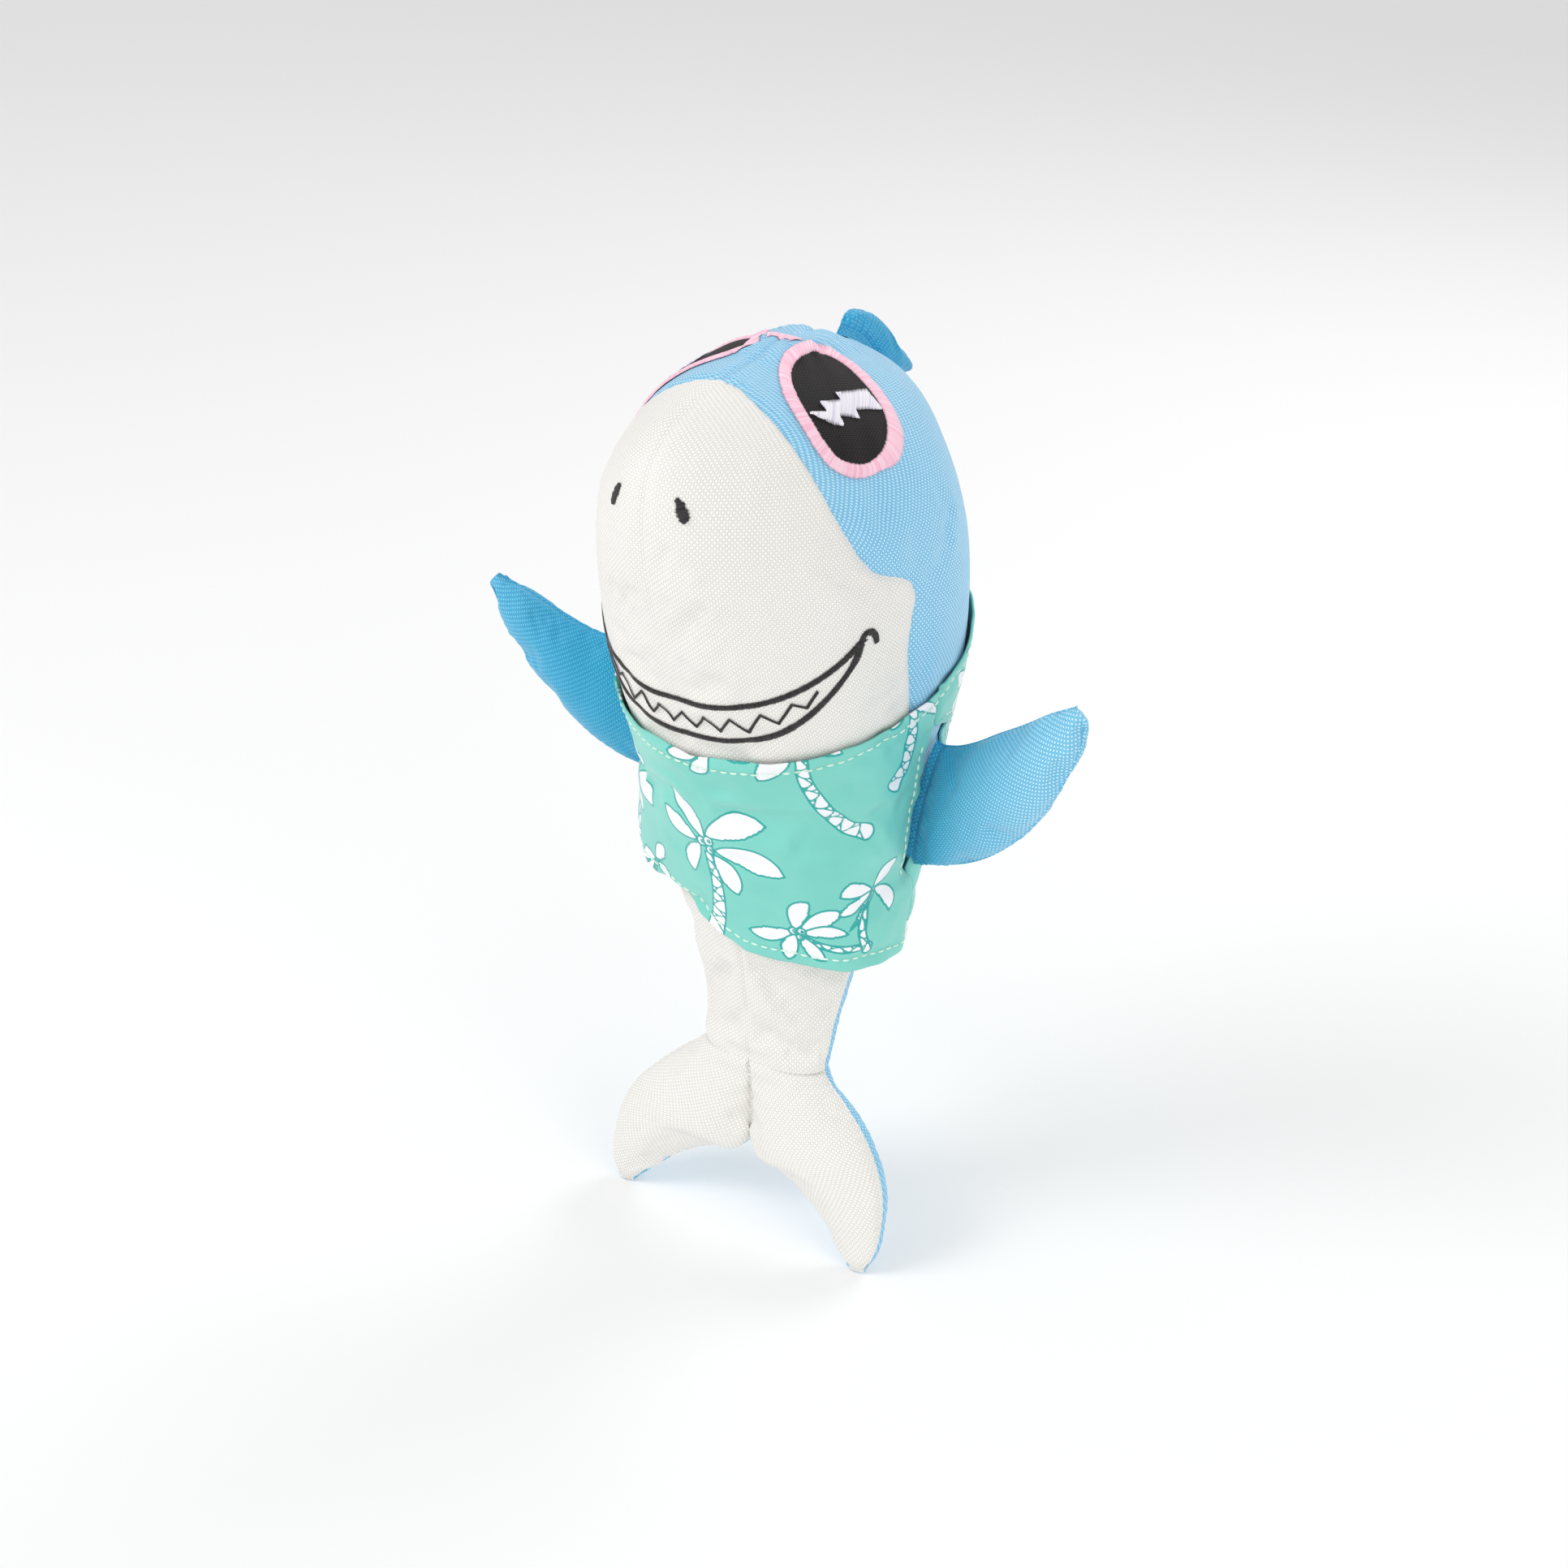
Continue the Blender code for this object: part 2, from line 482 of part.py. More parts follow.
# One mass of stuffing: a rounded root that turns in the stem, joined to both lobes
loops = [ellipse(0, -1.0, FLUKE_Z - h, 15.0 * k, 5.0 * k) for h, k in ((9.0, 0.45), (7.0, 0.8), (3.5, 1.0))]
loops.append(ellipse(0, -0.5, FLUKE_Z + 0.1, 15.0, 5.0))
loops += [ball_ring(FLUKE_BALL, 0.0, FLUKE_Z, h, -0.1) for h in ball_heights(0.35, FLUKE_BALL[1] - 0.1, 5)]
root = make("fluke_stuffing", "stuffing",
            rings(loops, np.array([0, -1.0, FLUKE_Z - 9.6]), np.array([0, 0, FLUKE_Z + FLUKE_BALL[1] - 0.1])),
            (0, 0, FLUKE_Z), flukes)
for lobe in lobes:
    join = root.modifiers.new("join_" + lobe.name, "BOOLEAN")
    join.operation = "UNION"
    join.solver = "EXACT"
    join.object = lobe


# --------------------------------------------------- fins, as sewn cushions
def cushion_point(fin, w, v, depth, edge):
    """Centre-plane point (u, v) and half thickness of a fin; w root to tip, v across it."""
    lower, upper = fin["lower"], fin["upper"]
    keys = np.linspace(0, 1, len(lower))
    a = np.array([np.interp(w, keys, lower[:, k]) for k in (0, 1)])
    b = np.array([np.interp(w, keys, upper[:, k]) for k in (0, 1)])
    span = np.linalg.norm(b - a)
    p = (a + b) / 2 + (b - a) / 2 * (1 - 2 * edge / max(span, 1)) * v
    p[0] *= fin["reach"]
    thick = max(float(line_at(fin["thick"], w)[0]) - depth, 0.3)
    turn = math.radians(fin["lift"]) * (lambda f: f * f * (3 - 2 * f))(min(max(p[0] / 25.0, 0), 1))
    q = np.array([p[0] * math.cos(turn) - p[1] * math.sin(turn), p[0] * math.sin(turn) + p[1] * math.cos(turn)])
    q[0] -= fin["sag"](p[1]) * (1 - w) ** 2
    return q, thick * math.sqrt(max(1 - v * v, 0.0))


def cushion_sheet(fin, face, depth, edge, push, rows, cols):
    grid = np.zeros((rows, cols, 3))
    for i, w in enumerate(np.linspace(0, 1, rows)):
        for j, v in enumerate(-np.cos(np.linspace(0, math.pi, cols))):
            q, h = cushion_point(fin, w, v, depth, edge)
            grid[i, j] = fin["at"] + fin["u"] * q[0] + fin["v"] * q[1] + fin["n"] * face * (h + push)
    return grid


def cushion(fin, names, kinds, rows, cols, side, parent):
    origin = mirror(fin["at"], side)
    for face, name in ((1, names[0]), (-1, names[1])):
        outer = cushion_sheet(fin, face, 0.0, 0.3, GAP / 2 + CLOTH, rows, cols)
        inner = cushion_sheet(fin, face, 0.0, 0.3, GAP / 2, rows, cols)
        make(name, kinds, shell(mirror(outer, side), mirror(inner, side)), origin, parent)
    a = cushion_sheet(fin, 1, 0.5, 1.6, 0.0, rows, cols)
    b = cushion_sheet(fin, -1, 0.5, 1.6, 0.0, rows, cols)
    loops_ = [mirror(np.concatenate([a[i], b[i][::-1]]), side) for i in range(rows)]
    half = cols // 2
    ends = [mirror((a[i, half] + b[i, half]) / 2, side) for i in (0, -1)]
    make(names[2], "stuffing", rings(loops_, ends[0], ends[1]), origin, parent)


def unit(v):
    return v / np.linalg.norm(v)


for side, word in ((1, "left"), (-1, "right")):
    at = (FIN_ROOT_TOP + FIN_ROOT_LOW) / 2
    along = unit(FIN_ROOT_TOP - FIN_ROOT_LOW)
    out = FIN_TIP_AIM - at
    out = unit(out - along * np.dot(out, along))
    fin = {"at": at, "u": out, "v": along, "n": np.cross(along, out), "lift": FIN_LIFT[side], "reach": FIN_REACH[side],
           "lower": smooth_path(FIN_LOWER, 60), "upper": smooth_path(FIN_UPPER, 60),
           "thick": FIN_THICK, "sag": lambda v: 0.0}
    if fin["n"][1] > 0:
        fin["n"] = -fin["n"]
    hinge = joint_empty(f"{word}_fin_joint", mirror(at, side))
    cushion(fin, (f"{word}_fin_front", f"{word}_fin_back", f"{word}_fin_stuffing"), "blue_cloth",
            10, 7, side, hinge)

# Dorsal fin, sewn along the back seam behind the crown and swept down the back
DORSAL_TOP, DORSAL_LOW, DORSAL_OFF = 12.85, 10.4, 1.8
DORSAL_LEAD = [(0, 18.0), (4.0, 17.3), (6.6, 12.5), (8.0, 3.5), (8.8, -8.0), (9.4, -18.0), (9.8, -25.5)]
DORSAL_TRAIL = [(0, -18.0), (2.2, -19.0), (4.6, -21.5), (6.6, -24.5), (8.2, -27.5)]
DORSAL_THICK = [(0.0, 1.4), (0.15, 3.6), (0.4, 5.0), (0.7, 4.6), (0.92, 2.6), (1.0, 0.5)]
base = surface(np.linspace(DORSAL_LOW, DORSAL_TOP, 21), 180.0)
along = unit(base[-1] - base[0])
out = unit(np.cross(np.array([1.0, 0, 0]), along))
out = out if out[1] > 0 else -out
rel = (base - base.mean(0)) @ np.stack([out, along], 1)
high = rel[:, 0].max()
at = base.mean(0) + out * (high + DORSAL_OFF)
sag_keys, sag_vals = rel[:, 1], high - rel[:, 0]
fin = {"at": at, "u": out, "v": along, "n": np.array([1.0, 0, 0]), "lift": 0.0, "reach": 1.0,
       "lower": smooth_path(DORSAL_TRAIL, 60), "upper": smooth_path(DORSAL_LEAD, 60),
       "thick": DORSAL_THICK, "sag": lambda v: float(np.interp(v, sag_keys, sag_vals))}
dorsal = joint_empty("dorsal_fin_joint", at)
cushion(fin, ("dorsal_fin_left", "dorsal_fin_right", "dorsal_fin_stuffing"), "blue_cloth", 8, 7, 1, dorsal)


# --------------------------------------------------------------------- shirt
def shirt_off(z, deg):
    """How far the shirt hangs off the body: close at the chest, flaring to the hem."""
    f = np.clip((188.0 - z) / 80.0, 0, 1)
    f = f * f * (3 - 2 * f)
    side = np.sin(np.radians(deg)) ** 2
    return 0.9 + f * (3.6 + 3.2 * side)


def neck_z(deg):
    return curve_at([(0, 183.0), (25, 184.6), (40, 186.2), (55, 189.5), (71, 193.6), (84, 197.2), (92, 200.5),
                     (100, 207.0), (115, 216.0), (140, 221.0), (180, 222.5)], abs(deg))[..., 0]


def shirt_grid(rows, cols, back, lift):
    grid = np.zeros((rows, cols, 3))
    for i, h in enumerate(np.linspace(0, 1, rows)):
        front_edge, back_edge = line_at(SHIRT_SPLIT, h)
        span = np.linspace(-1, 1, cols)
        deg = 180 + span * (180 - back_edge) if back else span * front_edge
        near = np.where(deg > 180, 360 - deg, deg)
        hem = SHIRT_HEM_Z - 4.0 * np.sin(np.radians(np.clip(near, 90, 180) - 90)) if back else SHIRT_HEM_Z
        z = hem + h * (neck_z(near) - hem)
        s = station_at(z, deg)
        grid[i] = skin(s, deg, -(shirt_off(z, deg) + lift))
    return grid


for back, name in ((False, "shirt_front"), (True, "shirt_back")):
    make(name, "shirt_cloth", shell(shirt_grid(11, 15, back, SHIRT_CLOTH), shirt_grid(11, 15, back, 0.0)))

# ---------------------------------------------------------------- embroidery
fine_s, fine_t = np.meshgrid(np.linspace(5, CROWN, 181), np.linspace(-180, 180, 241), indexing="ij")
fine = surface(fine_s, fine_t).reshape(-1, 3)
fine_faces = grid_faces(181, 241, 0, False)
HEAD = BVHTree.FromPolygons([tuple(v) for v in fine], fine_faces)


def drape(points, lift, lay):
    """Lay flat (a, b) points on the head; lay gives origin, both axes and the direction."""
    origin, ax, bx, toward = lay
    out_ = []
    for a, b in points:
        start = Vector(tuple(origin + ax * a + bx * b - toward * 120))
        hit, nrm, _, _ = HEAD.ray_cast(start, Vector(tuple(toward)))
        if nrm.dot(Vector(tuple(toward))) > 0:
            nrm = -nrm
        out_.append(np.array(hit + nrm * lift))
    return np.array(out_)


FRONT_LAY = (np.zeros(3), np.array([1.0, 0, 0]), np.array([0, 0, 1.0]), np.array([0, 1.0, 0]))


def lens_lay(side):
    n = unit(LENS_N)
    ax = unit(np.cross([0, 0, 1.0], n))
    bx = np.cross(n, ax)
    return tuple(mirror(v, side) for v in (LENS_C, ax, bx, -n))


def tube(sections, closed):
    count, k = len(sections), len(sections[0])
    verts = np.array(sections).reshape(-1, 3)
    faces = []
    for i in range(count if closed else count - 1):
        a, b = i * k, ((i + 1) % count) * k
        for j in range(k):
            m = (j + 1) % k
            faces.append((a + j, a + m, b + m, b + j))
    if not closed:
        faces.append(tuple(reversed(range(k))))
        faces.append(tuple(range((count - 1) * k, count * k)))
    return verts, faces


def ribbon(path, width, lay, low=GAP, high=GAP + THREAD):
    """Raised line of satin stitch along a path."""
    path = np.array(path, float)
    step = np.gradient(path, axis=0)
    step /= np.linalg.norm(step, axis=1)[:, None]
    side_ = np.stack([-step[:, 1], step[:, 0]], 1) * width / 2
    spots = [(path + side_, low), (path - side_, low), (path - side_ * 0.8, high - 0.12),
             (path, high), (path + side_ * 0.8, high - 0.12)]
    lines_ = [drape(p, h, lay) for p, h in spots]
    return tube(np.stack(lines_, 1), False)


def patch(outline, spacing, low, high, lay):
    """Flat embroidered or applied patch with the given outline, laid on the head."""
    from mathutils.geometry import delaunay_2d_cdt
    ring = []
    for a, b in zip(outline, outline[1:] + outline[:1]):
        a, b = np.array(a, float), np.array(b, float)
        parts = max(1, round(float(np.linalg.norm(b - a)) / spacing))
        ring += [a + (b - a) * k / parts for k in range(parts)]
    ring = np.array(ring)
    lo, hi = ring.min(0), ring.max(0)
    inside = []
    for x in np.arange(lo[0] + spacing / 2, hi[0], spacing):
        for y in np.arange(lo[1] + spacing / 2, hi[1], spacing):
            p = np.array([x, y])
            a, b = ring, np.roll(ring, -1, 0)
            t = np.clip(((p - a) * (b - a)).sum(1) / ((b - a) ** 2).sum(1), 0, 1)
            if np.linalg.norm(a + (b - a) * t[:, None] - p, axis=1).min() > spacing * 0.55:
                inside.append(p)
    pts = [Vector(tuple(p)) for p in list(ring) + inside]
    loop = list(range(len(ring)))
    v, _, f, _, _, _ = delaunay_2d_cdt(pts, [], [loop], 1, 1e-5)
    flat = [(p[0], p[1]) for p in v]
    top, low_ = drape(flat, high, lay), drape(flat, low, lay)
    n = len(flat)
    faces = [tuple(t) for t in f] + [tuple(i + n for i in reversed(t)) for t in f]
    edges = {}
    for t in f:
        for a, b in zip(t, t[1:] + t[:1]):
            edges[(a, b)] = True
    for a, b in edges:
        if (b, a) not in edges:
            faces.append((b, a, a + n, b + n))
    return np.concatenate([top, low_]), faces


def shrink(outline, mm):
    pts = np.array(outline, float)
    nxt, prv = np.roll(pts, -1, 0), np.roll(pts, 1, 0)
    d = nxt - prv
    n = np.stack([-d[:, 1], d[:, 0]], 1) / np.linalg.norm(d, axis=1)[:, None]
    centre = pts.mean(0)
    n = np.where(((pts - centre) * n).sum(1, keepdims=True) > 0, n, -n)
    return [tuple(p) for p in pts - n * mm]


def closed_path(points, count):
    pts = np.array(points + points[:1], float)
    return smooth_path(pts, count + 1)[:-1]


for side, word in ((1, "left"), (-1, "right")):
    lay = lens_lay(side)
    inner_line = closed_path(LENS_IN, 26)
    outer_line = closed_path(LENS_OUT, 26)
    make(f"lens_{word}", "lens_cloth",
         patch(shrink([tuple(p) for p in inner_line], 0.3), 5.0, GAP, GAP + 0.5, lay))
    rows_ = [drape(inner_line, GAP, lay), drape(outer_line, GAP, lay),
             drape(inner_line * 0.15 + outer_line * 0.85, GAP + THREAD, lay),
             drape(inner_line * 0.5 + outer_line * 0.5, GAP + THREAD + 0.15, lay),
             drape(inner_line * 0.85 + outer_line * 0.15, GAP + THREAD, lay)]
    make(f"glasses_frame_{word}", "pink_thread", tube(np.stack(rows_, 1), True))
    make(f"glare_{word}", "white_thread", patch(GLARE, 4.0, GAP + 0.5 + 0.5, GAP + 1.4, lay))
    nostril = [(7.9, 273.2), (9.3, 272.6), (11.2, 270.2), (12.6, 267.0), (12.7, 264.6), (11.6, 263.6),
               (10.3, 264.2), (9.4, 266.5), (8.4, 269.6)]
    nostril = [((x + 0.6) * side, z) for x, z in nostril]
    make(f"nostril_{word}", "black_thread", patch(nostril, 3.0, GAP, GAP + THREAD, FRONT_LAY))
    tick = [(42.7, 227.0), (43.9, 227.7), (45.0, 226.5), (45.4, 224.2)]
    tick = smooth_path([(x * side, z) for x, z in tick], 6)
    make(f"mouth_corner_{word}", "black_thread", ribbon(tick, 1.6, FRONT_LAY))

CROWN_LAY = (np.array([0, -15.0, 0]), np.array([1.0, 0, 0]), np.array([0, 1.0, 0]), np.array([0, 0, -1.0]))
CROWN_LAY = (CROWN_LAY[0] + np.array([0, 0, 290.0]),) + CROWN_LAY[1:]
make("glasses_bridge", "pink_thread", ribbon([(-4.6, -1.0), (-2.3, 0), (0, 0.4), (2.3, 0), (4.6, -1.0)], 5.0, CROWN_LAY))


def both_sides(points):
    return points + [(-x, z) for x, z in reversed(points[:-1])]


up = both_sides([(42.9, 223.8)] + MOUTH_UP[1:])
low = both_sides([(42.3, 217.6)] + MOUTH_LOW[2:])
make("mouth_upper_line", "black_thread", ribbon(smooth_path(up, 33), MOUTH_W, FRONT_LAY))
make("mouth_lower_line", "black_thread", ribbon(smooth_path(low, 31), MOUTH_W, FRONT_LAY))
zigzag = both_sides(TEETH)
fine_zig = []
for a, b in zip(zigzag, zigzag[1:]):
    fine_zig += [a, ((a[0] + b[0]) / 2, (a[1] + b[1]) / 2)]
make("teeth_line", "black_thread", ribbon(fine_zig + zigzag[-1:], TEETH_W, FRONT_LAY))

print("triangles", sum(COUNT.values()), COUNT)
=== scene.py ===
import math
import random
import bpy
import numpy as np
from mathutils import Matrix, Vector
from mathutils.bvhtree import BVHTree
from mathutils.geometry import delaunay_2d_cdt
from mathutils.kdtree import KDTree


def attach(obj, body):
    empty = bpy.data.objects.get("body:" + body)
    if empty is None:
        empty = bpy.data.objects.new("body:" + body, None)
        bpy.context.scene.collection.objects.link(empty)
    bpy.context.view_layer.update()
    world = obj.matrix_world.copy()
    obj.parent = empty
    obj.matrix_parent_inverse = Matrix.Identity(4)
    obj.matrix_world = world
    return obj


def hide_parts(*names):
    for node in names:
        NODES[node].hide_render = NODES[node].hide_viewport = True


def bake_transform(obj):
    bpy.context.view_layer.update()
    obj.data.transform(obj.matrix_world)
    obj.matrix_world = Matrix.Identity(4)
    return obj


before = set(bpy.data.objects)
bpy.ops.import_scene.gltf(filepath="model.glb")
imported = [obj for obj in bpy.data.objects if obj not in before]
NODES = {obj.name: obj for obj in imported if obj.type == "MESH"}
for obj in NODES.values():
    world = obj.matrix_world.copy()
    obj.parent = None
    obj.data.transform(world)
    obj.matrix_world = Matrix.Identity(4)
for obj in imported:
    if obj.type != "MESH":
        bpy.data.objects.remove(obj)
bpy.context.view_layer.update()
rng = random.Random(7)

# ------------------------------------------------------------ design values
MM = 0.001
BASE = np.array([0.0, 13.7, -1.2])
BODY = np.array([
    [-12.0, 62.0, 11.0, 62.0, 21.5, 0.50, 0.00],
    [-13.5, 79.0, 14.0, 79.0, 22.5, 0.50, 0.00],
    [-17.0, 100.0, 21.0, 100.0, 28.0, 0.50, 0.00],
    [-24.0, 121.0, 29.0, 121.0, 34.5, 0.50, 0.05],
    [-33.0, 142.0, 36.0, 142.0, 40.0, 0.51, 0.08],
    [-42.5, 165.0, 42.0, 164.0, 44.0, 0.52, 0.09],
    [-53.5, 187.0, 46.5, 185.0, 48.0, 0.54, 0.11],
    [-65.0, 209.0, 49.0, 204.0, 51.0, 0.57, 0.16],
    [-75.0, 230.0, 49.5, 223.0, 51.5, 0.60, 0.24],
    [-82.5, 251.0, 47.5, 243.0, 49.5, 0.62, 0.30],
    [-84.0, 270.0, 43.0, 262.0, 44.0, 0.63, 0.33],
    [-76.0, 284.5, 36.0, 278.0, 35.0, 0.65, 0.33],
    [-56.0, 293.5, 26.0, 289.0, 24.5, 0.65, 0.25],
    [-32.0, 298.0, 11.0, 296.0, 14.0, 0.60, 0.10],
    [-10.0, 299.5, -8.0, 299.4, 0.8, 0.50, 0.00],
])
CROWN = len(BODY) - 1.0
SEAM = [(0.0, 92.0), (3.5, 91.0), (5.2, 86.0), (6.8, 79.5), (7.6, 77.5), (8.1, 79.0),
        (8.5, 80.0), (8.72, 76.5), (8.82, 71.0), (9.03, 67.0), (9.4, 64.0), (9.8, 61.5),
        (10.2, 59.3), (10.65, 56.0), (11.2, 50.0), (11.62, 42.5), (12.05, 30.0), (12.3, 17.0), (12.42, 0.0)]
APEX = 12.42
FIN_ROOT_TOP = np.array([49.9, 7.5, 180.5])
FIN_ROOT_LOW = np.array([41.0, 11.3, 136.0])
FIN_TIP_AIM = np.array([100.0, -8.0, 205.0])
FIN_LIFT = {1: 6.0, -1: -6.0}
FIN_REACH = {1: 1.035, -1: 0.91}
FIN_UPPER = [(0, 22.5), (5, 25.0), (11, 28.8), (18.5, 34.0), (29, 42.3), (40.5, 53.0), (49.0, 59.5)]
FIN_LOWER = [(0, -22.5), (8, -17.8), (17, -12.0), (28, -3.2), (38, 9.5), (44.5, 21.0),
             (49.2, 33.0), (52.6, 46.0), (53.2, 57.0)]
FIN_THICK = [(0.0, 3.0), (0.12, 5.5), (0.3, 8.1), (0.5, 8.5), (0.75, 6.5), (0.94, 3.4), (1.0, 1.3)]
DORSAL_TOP, DORSAL_LOW, DORSAL_OFF = 12.85, 10.4, 1.8
DORSAL_LEAD = [(0, 18.0), (4.0, 17.3), (6.6, 12.5), (8.0, 3.5), (8.8, -8.0), (9.4, -18.0), (9.8, -25.5)]
DORSAL_TRAIL = [(0, -18.0), (2.2, -19.0), (4.6, -21.5), (6.6, -24.5), (8.2, -27.5)]
DORSAL_THICK = [(0.0, 2.2), (0.15, 4.5), (0.4, 5.9), (0.7, 5.5), (0.92, 3.4), (1.0, 1.2)]
FLUKE_OUTER = [(21.5, 62.0), (24.5, 58.2), (31.0, 53.0), (38.5, 46.5), (45.0, 38.5), (49.5, 29.0),
               (51.0, 18.0), (50.4, 8.5), (47.5, 1.6)]
FLUKE_INNER = [(0.0, 62.0), (0.0, 50.0), (0.0, 40.0), (0.2, 31.0), (3.0, 26.8), (10.0, 25.0),
               (19.5, 21.0), (29.0, 14.3), (36.0, 7.0), (42.0, 1.2)]
FLUKE_THICK = [(0.0, 11.5), (0.08, 10.6), (0.25, 9.6), (0.5, 8.8), (0.75, 7.0), (0.92, 4.0), (1.0, 1.2)]
FLUKE_LEAN = 0.19
LENS_C = np.array([25.0, -25.0, 288.0])
LENS_N = np.array([0.60, -0.30, 0.74])
LENS_IN = [(1.8, 20.0), (-6.0, 16.2), (-11.8, 9.0), (-13.0, 1.5), (-12.0, -5.0), (-10.0, -11.5),
           (-6.5, -16.2), (0.0, -18.3), (7.6, -16.2), (13.2, -11.0), (15.6, -3.5), (14.6, 2.5),
           (12.6, 8.0), (10.0, 14.0), (6.2, 18.6)]
LENS_OUT = [(3.6, 24.2), (-6.2, 20.9), (-14.1, 11.6), (-17.0, 3.0), (-16.4, -4.5), (-14.6, -11.2),
            (-11.2, -17.2), (-3.5, -21.6), (7.5, -20.0), (16.6, -16.3), (20.3, -8.5), (19.2, 1.0),
            (17.0, 8.0), (13.6, 15.2), (9.2, 21.4)]
GLARE = [(-12.2, -2.6), (-5.8, -2.7), (-6.6, 0.5), (0.7, 0.8), (0.2, 3.3), (12.4, 4.7),
         (15.0, -2.0), (4.8, -2.2), (4.8, -5.0), (-2.0, -4.2), (-1.8, -7.4), (-5.0, -7.0)]
MOUTH_UP = [(44.2, 225.8), (41.0, 219.9), (36.0, 214.3), (27.0, 208.5), (18.0, 205.6), (9.0, 204.2), (0.0, 204.0)]
MOUTH_LOW = [(43.8, 224.4), (42.9, 219.6), (41.2, 214.8), (38.0, 208.6), (31.5, 200.3), (24.0, 195.0),
             (15.0, 192.3), (7.0, 191.6), (0.0, 191.6)]
TEETH = [(36.3, 211.0), (33.8, 205.8), (31.0, 207.2), (27.4, 200.6), (23.6, 203.4), (19.4, 196.6),
         (15.4, 200.8), (11.4, 195.4), (7.6, 199.8), (3.8, 195.0), (0.0, 199.2)]
TICK = [(7.90, 61.6), (8.00, 63.1), (8.00, 64.6), (7.93, 65.7), (7.81, 66.2)]   # station, degrees
SHIRT_HEM_Z = 113.5
HEM_RISE = [(-152, 0), (-98, 12.5), (-55, 14.5), (-35, 13.5), (-20, 10.5), (-12, 7.5), (0, 3), (10, 0)]
SHIRT_SPLIT = [(0.0, 97.5, 97.5), (0.24, 99.0, 99.0), (0.31, 95.5, 105.0), (0.6, 94.5, 108.5),
               (0.76, 92.5, 105.0), (0.85, 92.4, 92.4), (1.0, 92.2, 92.2)]


# ---------------------------------------------------------------- geometry
def curve_at(table, x):
    tab = np.array(table, float)
    keys = tab[:, 0]
    x = np.clip(np.asarray(x, float), keys[0], keys[-1])
    slope = np.gradient(tab[:, 1:], keys, axis=0)
    i = np.clip(np.searchsorted(keys, x, side="right") - 1, 0, len(keys) - 2)
    h = (keys[i + 1] - keys[i])[..., None]
    f = (x - keys[i])[..., None] / h
    a, b = tab[i, 1:], tab[i + 1, 1:]
    sa, sb = slope[i] * h, slope[i + 1] * h
    return (a * (1 + 2 * f) * (1 - f) ** 2 + sa * f * (1 - f) ** 2
            + b * f ** 2 * (3 - 2 * f) + sb * f ** 2 * (f - 1))


def line_at(table, x):
    tab = np.array(table, float)
    return np.stack([np.interp(x, tab[:, 0], tab[:, k]) for k in range(1, tab.shape[1])], -1)


def smooth_path(points, count):
    pts = np.array(points, float)
    key = np.concatenate([[0], np.cumsum(np.linalg.norm(np.diff(pts, axis=0), axis=1))])
    fine = curve_at(np.column_stack([key, pts]), np.linspace(0, key[-1], 600))
    return even(fine, count)


def even(points, count):
    pts = np.array(points, float)
    run = np.concatenate([[0], np.cumsum(np.linalg.norm(np.diff(pts, axis=0), axis=1))])
    want = np.linspace(0, run[-1], count)
    return np.stack([np.interp(want, run, pts[:, k]) for k in range(pts.shape[1])], -1)


def station(s):
    x = np.clip(np.asarray(s, float), 0, CROWN)
    i = np.clip(np.floor(x).astype(int), 0, len(BODY) - 2)
    f = (x - i)[..., None]
    tab = np.concatenate([2 * BODY[:1] - BODY[1:2], BODY, 2 * BODY[-1:] - BODY[-2:-1]])
    a, b, c, d = tab[i], tab[i + 1], tab[i + 2], tab[i + 3]
    return b + 0.5 * f * ((c - a) + f * ((2 * a - 5 * b + 4 * c - d) + f * (3 * (b - c) + d - a)))


def surface(s, deg):
    s, deg = np.broadcast_arrays(np.asarray(s, float), np.asarray(deg, float))
    row = station(s)
    yf, zf, yb, zb, wide, mid, pinch = (row[..., k] for k in range(7))
    sn, cs = np.sin(np.radians(deg)), np.cos(np.radians(deg))
    ym, zm = yf + mid * (yb - yf), zf + mid * (zb - zf)
    front = cs > 0
    y = np.where(front, ym + (yf - ym) * cs, ym - (yb - ym) * cs)
    z = np.where(front, zm + (zf - zm) * cs, zm - (zb - zm) * cs)
    x = wide * sn * (1 - pinch * np.where(front, cs * cs, 0.0))
    return np.stack([x, y, z], -1)


def unit(v):
    return v / np.maximum(np.linalg.norm(v, axis=-1, keepdims=True), 1e-9)


def normal(s, deg):
    s = np.clip(np.asarray(s, float), 0.03, CROWN - 0.25)
    along = surface(s + 0.02, deg) - surface(s - 0.02, deg)
    across = surface(s, deg + 0.5) - surface(s, deg - 0.5)
    return unit(np.cross(across, along))


def skin(s, deg, depth):
    s, deg = np.broadcast_arrays(np.asarray(s, float), np.asarray(deg, float))
    return surface(s, deg) - normal(s, deg) * np.asarray(depth, float)[..., None]


def station_at(z, deg):
    z, deg = np.broadcast_arrays(np.asarray(z, float), np.asarray(deg, float))
    lo, hi = np.zeros_like(z), np.full_like(z, CROWN)
    for _ in range(30):
        mid = (lo + hi) / 2
        low = surface(mid, deg)[..., 2] < z
        lo, hi = np.where(low, mid, lo), np.where(low, hi, mid)
    return (lo + hi) / 2


def seam_deg(s):
    return np.where(np.asarray(s) >= APEX, 0.0, curve_at(SEAM, np.minimum(s, APEX))[..., 0])


def mirror(points, side):
    return np.asarray(points) * np.array([side, 1, 1])


def wobble(x, seed, scale):
    """Smooth one-dimensional noise between -1 and 1."""
    local = np.random.RandomState(seed)
    table = local.uniform(-1, 1, 512)
    u = np.asarray(x, float) / scale + 97.3
    i = np.floor(u).astype(int)
    f = u - i
    f = f * f * (3 - 2 * f)
    return table[i % 512] * (1 - f) + table[(i + 1) % 512] * f


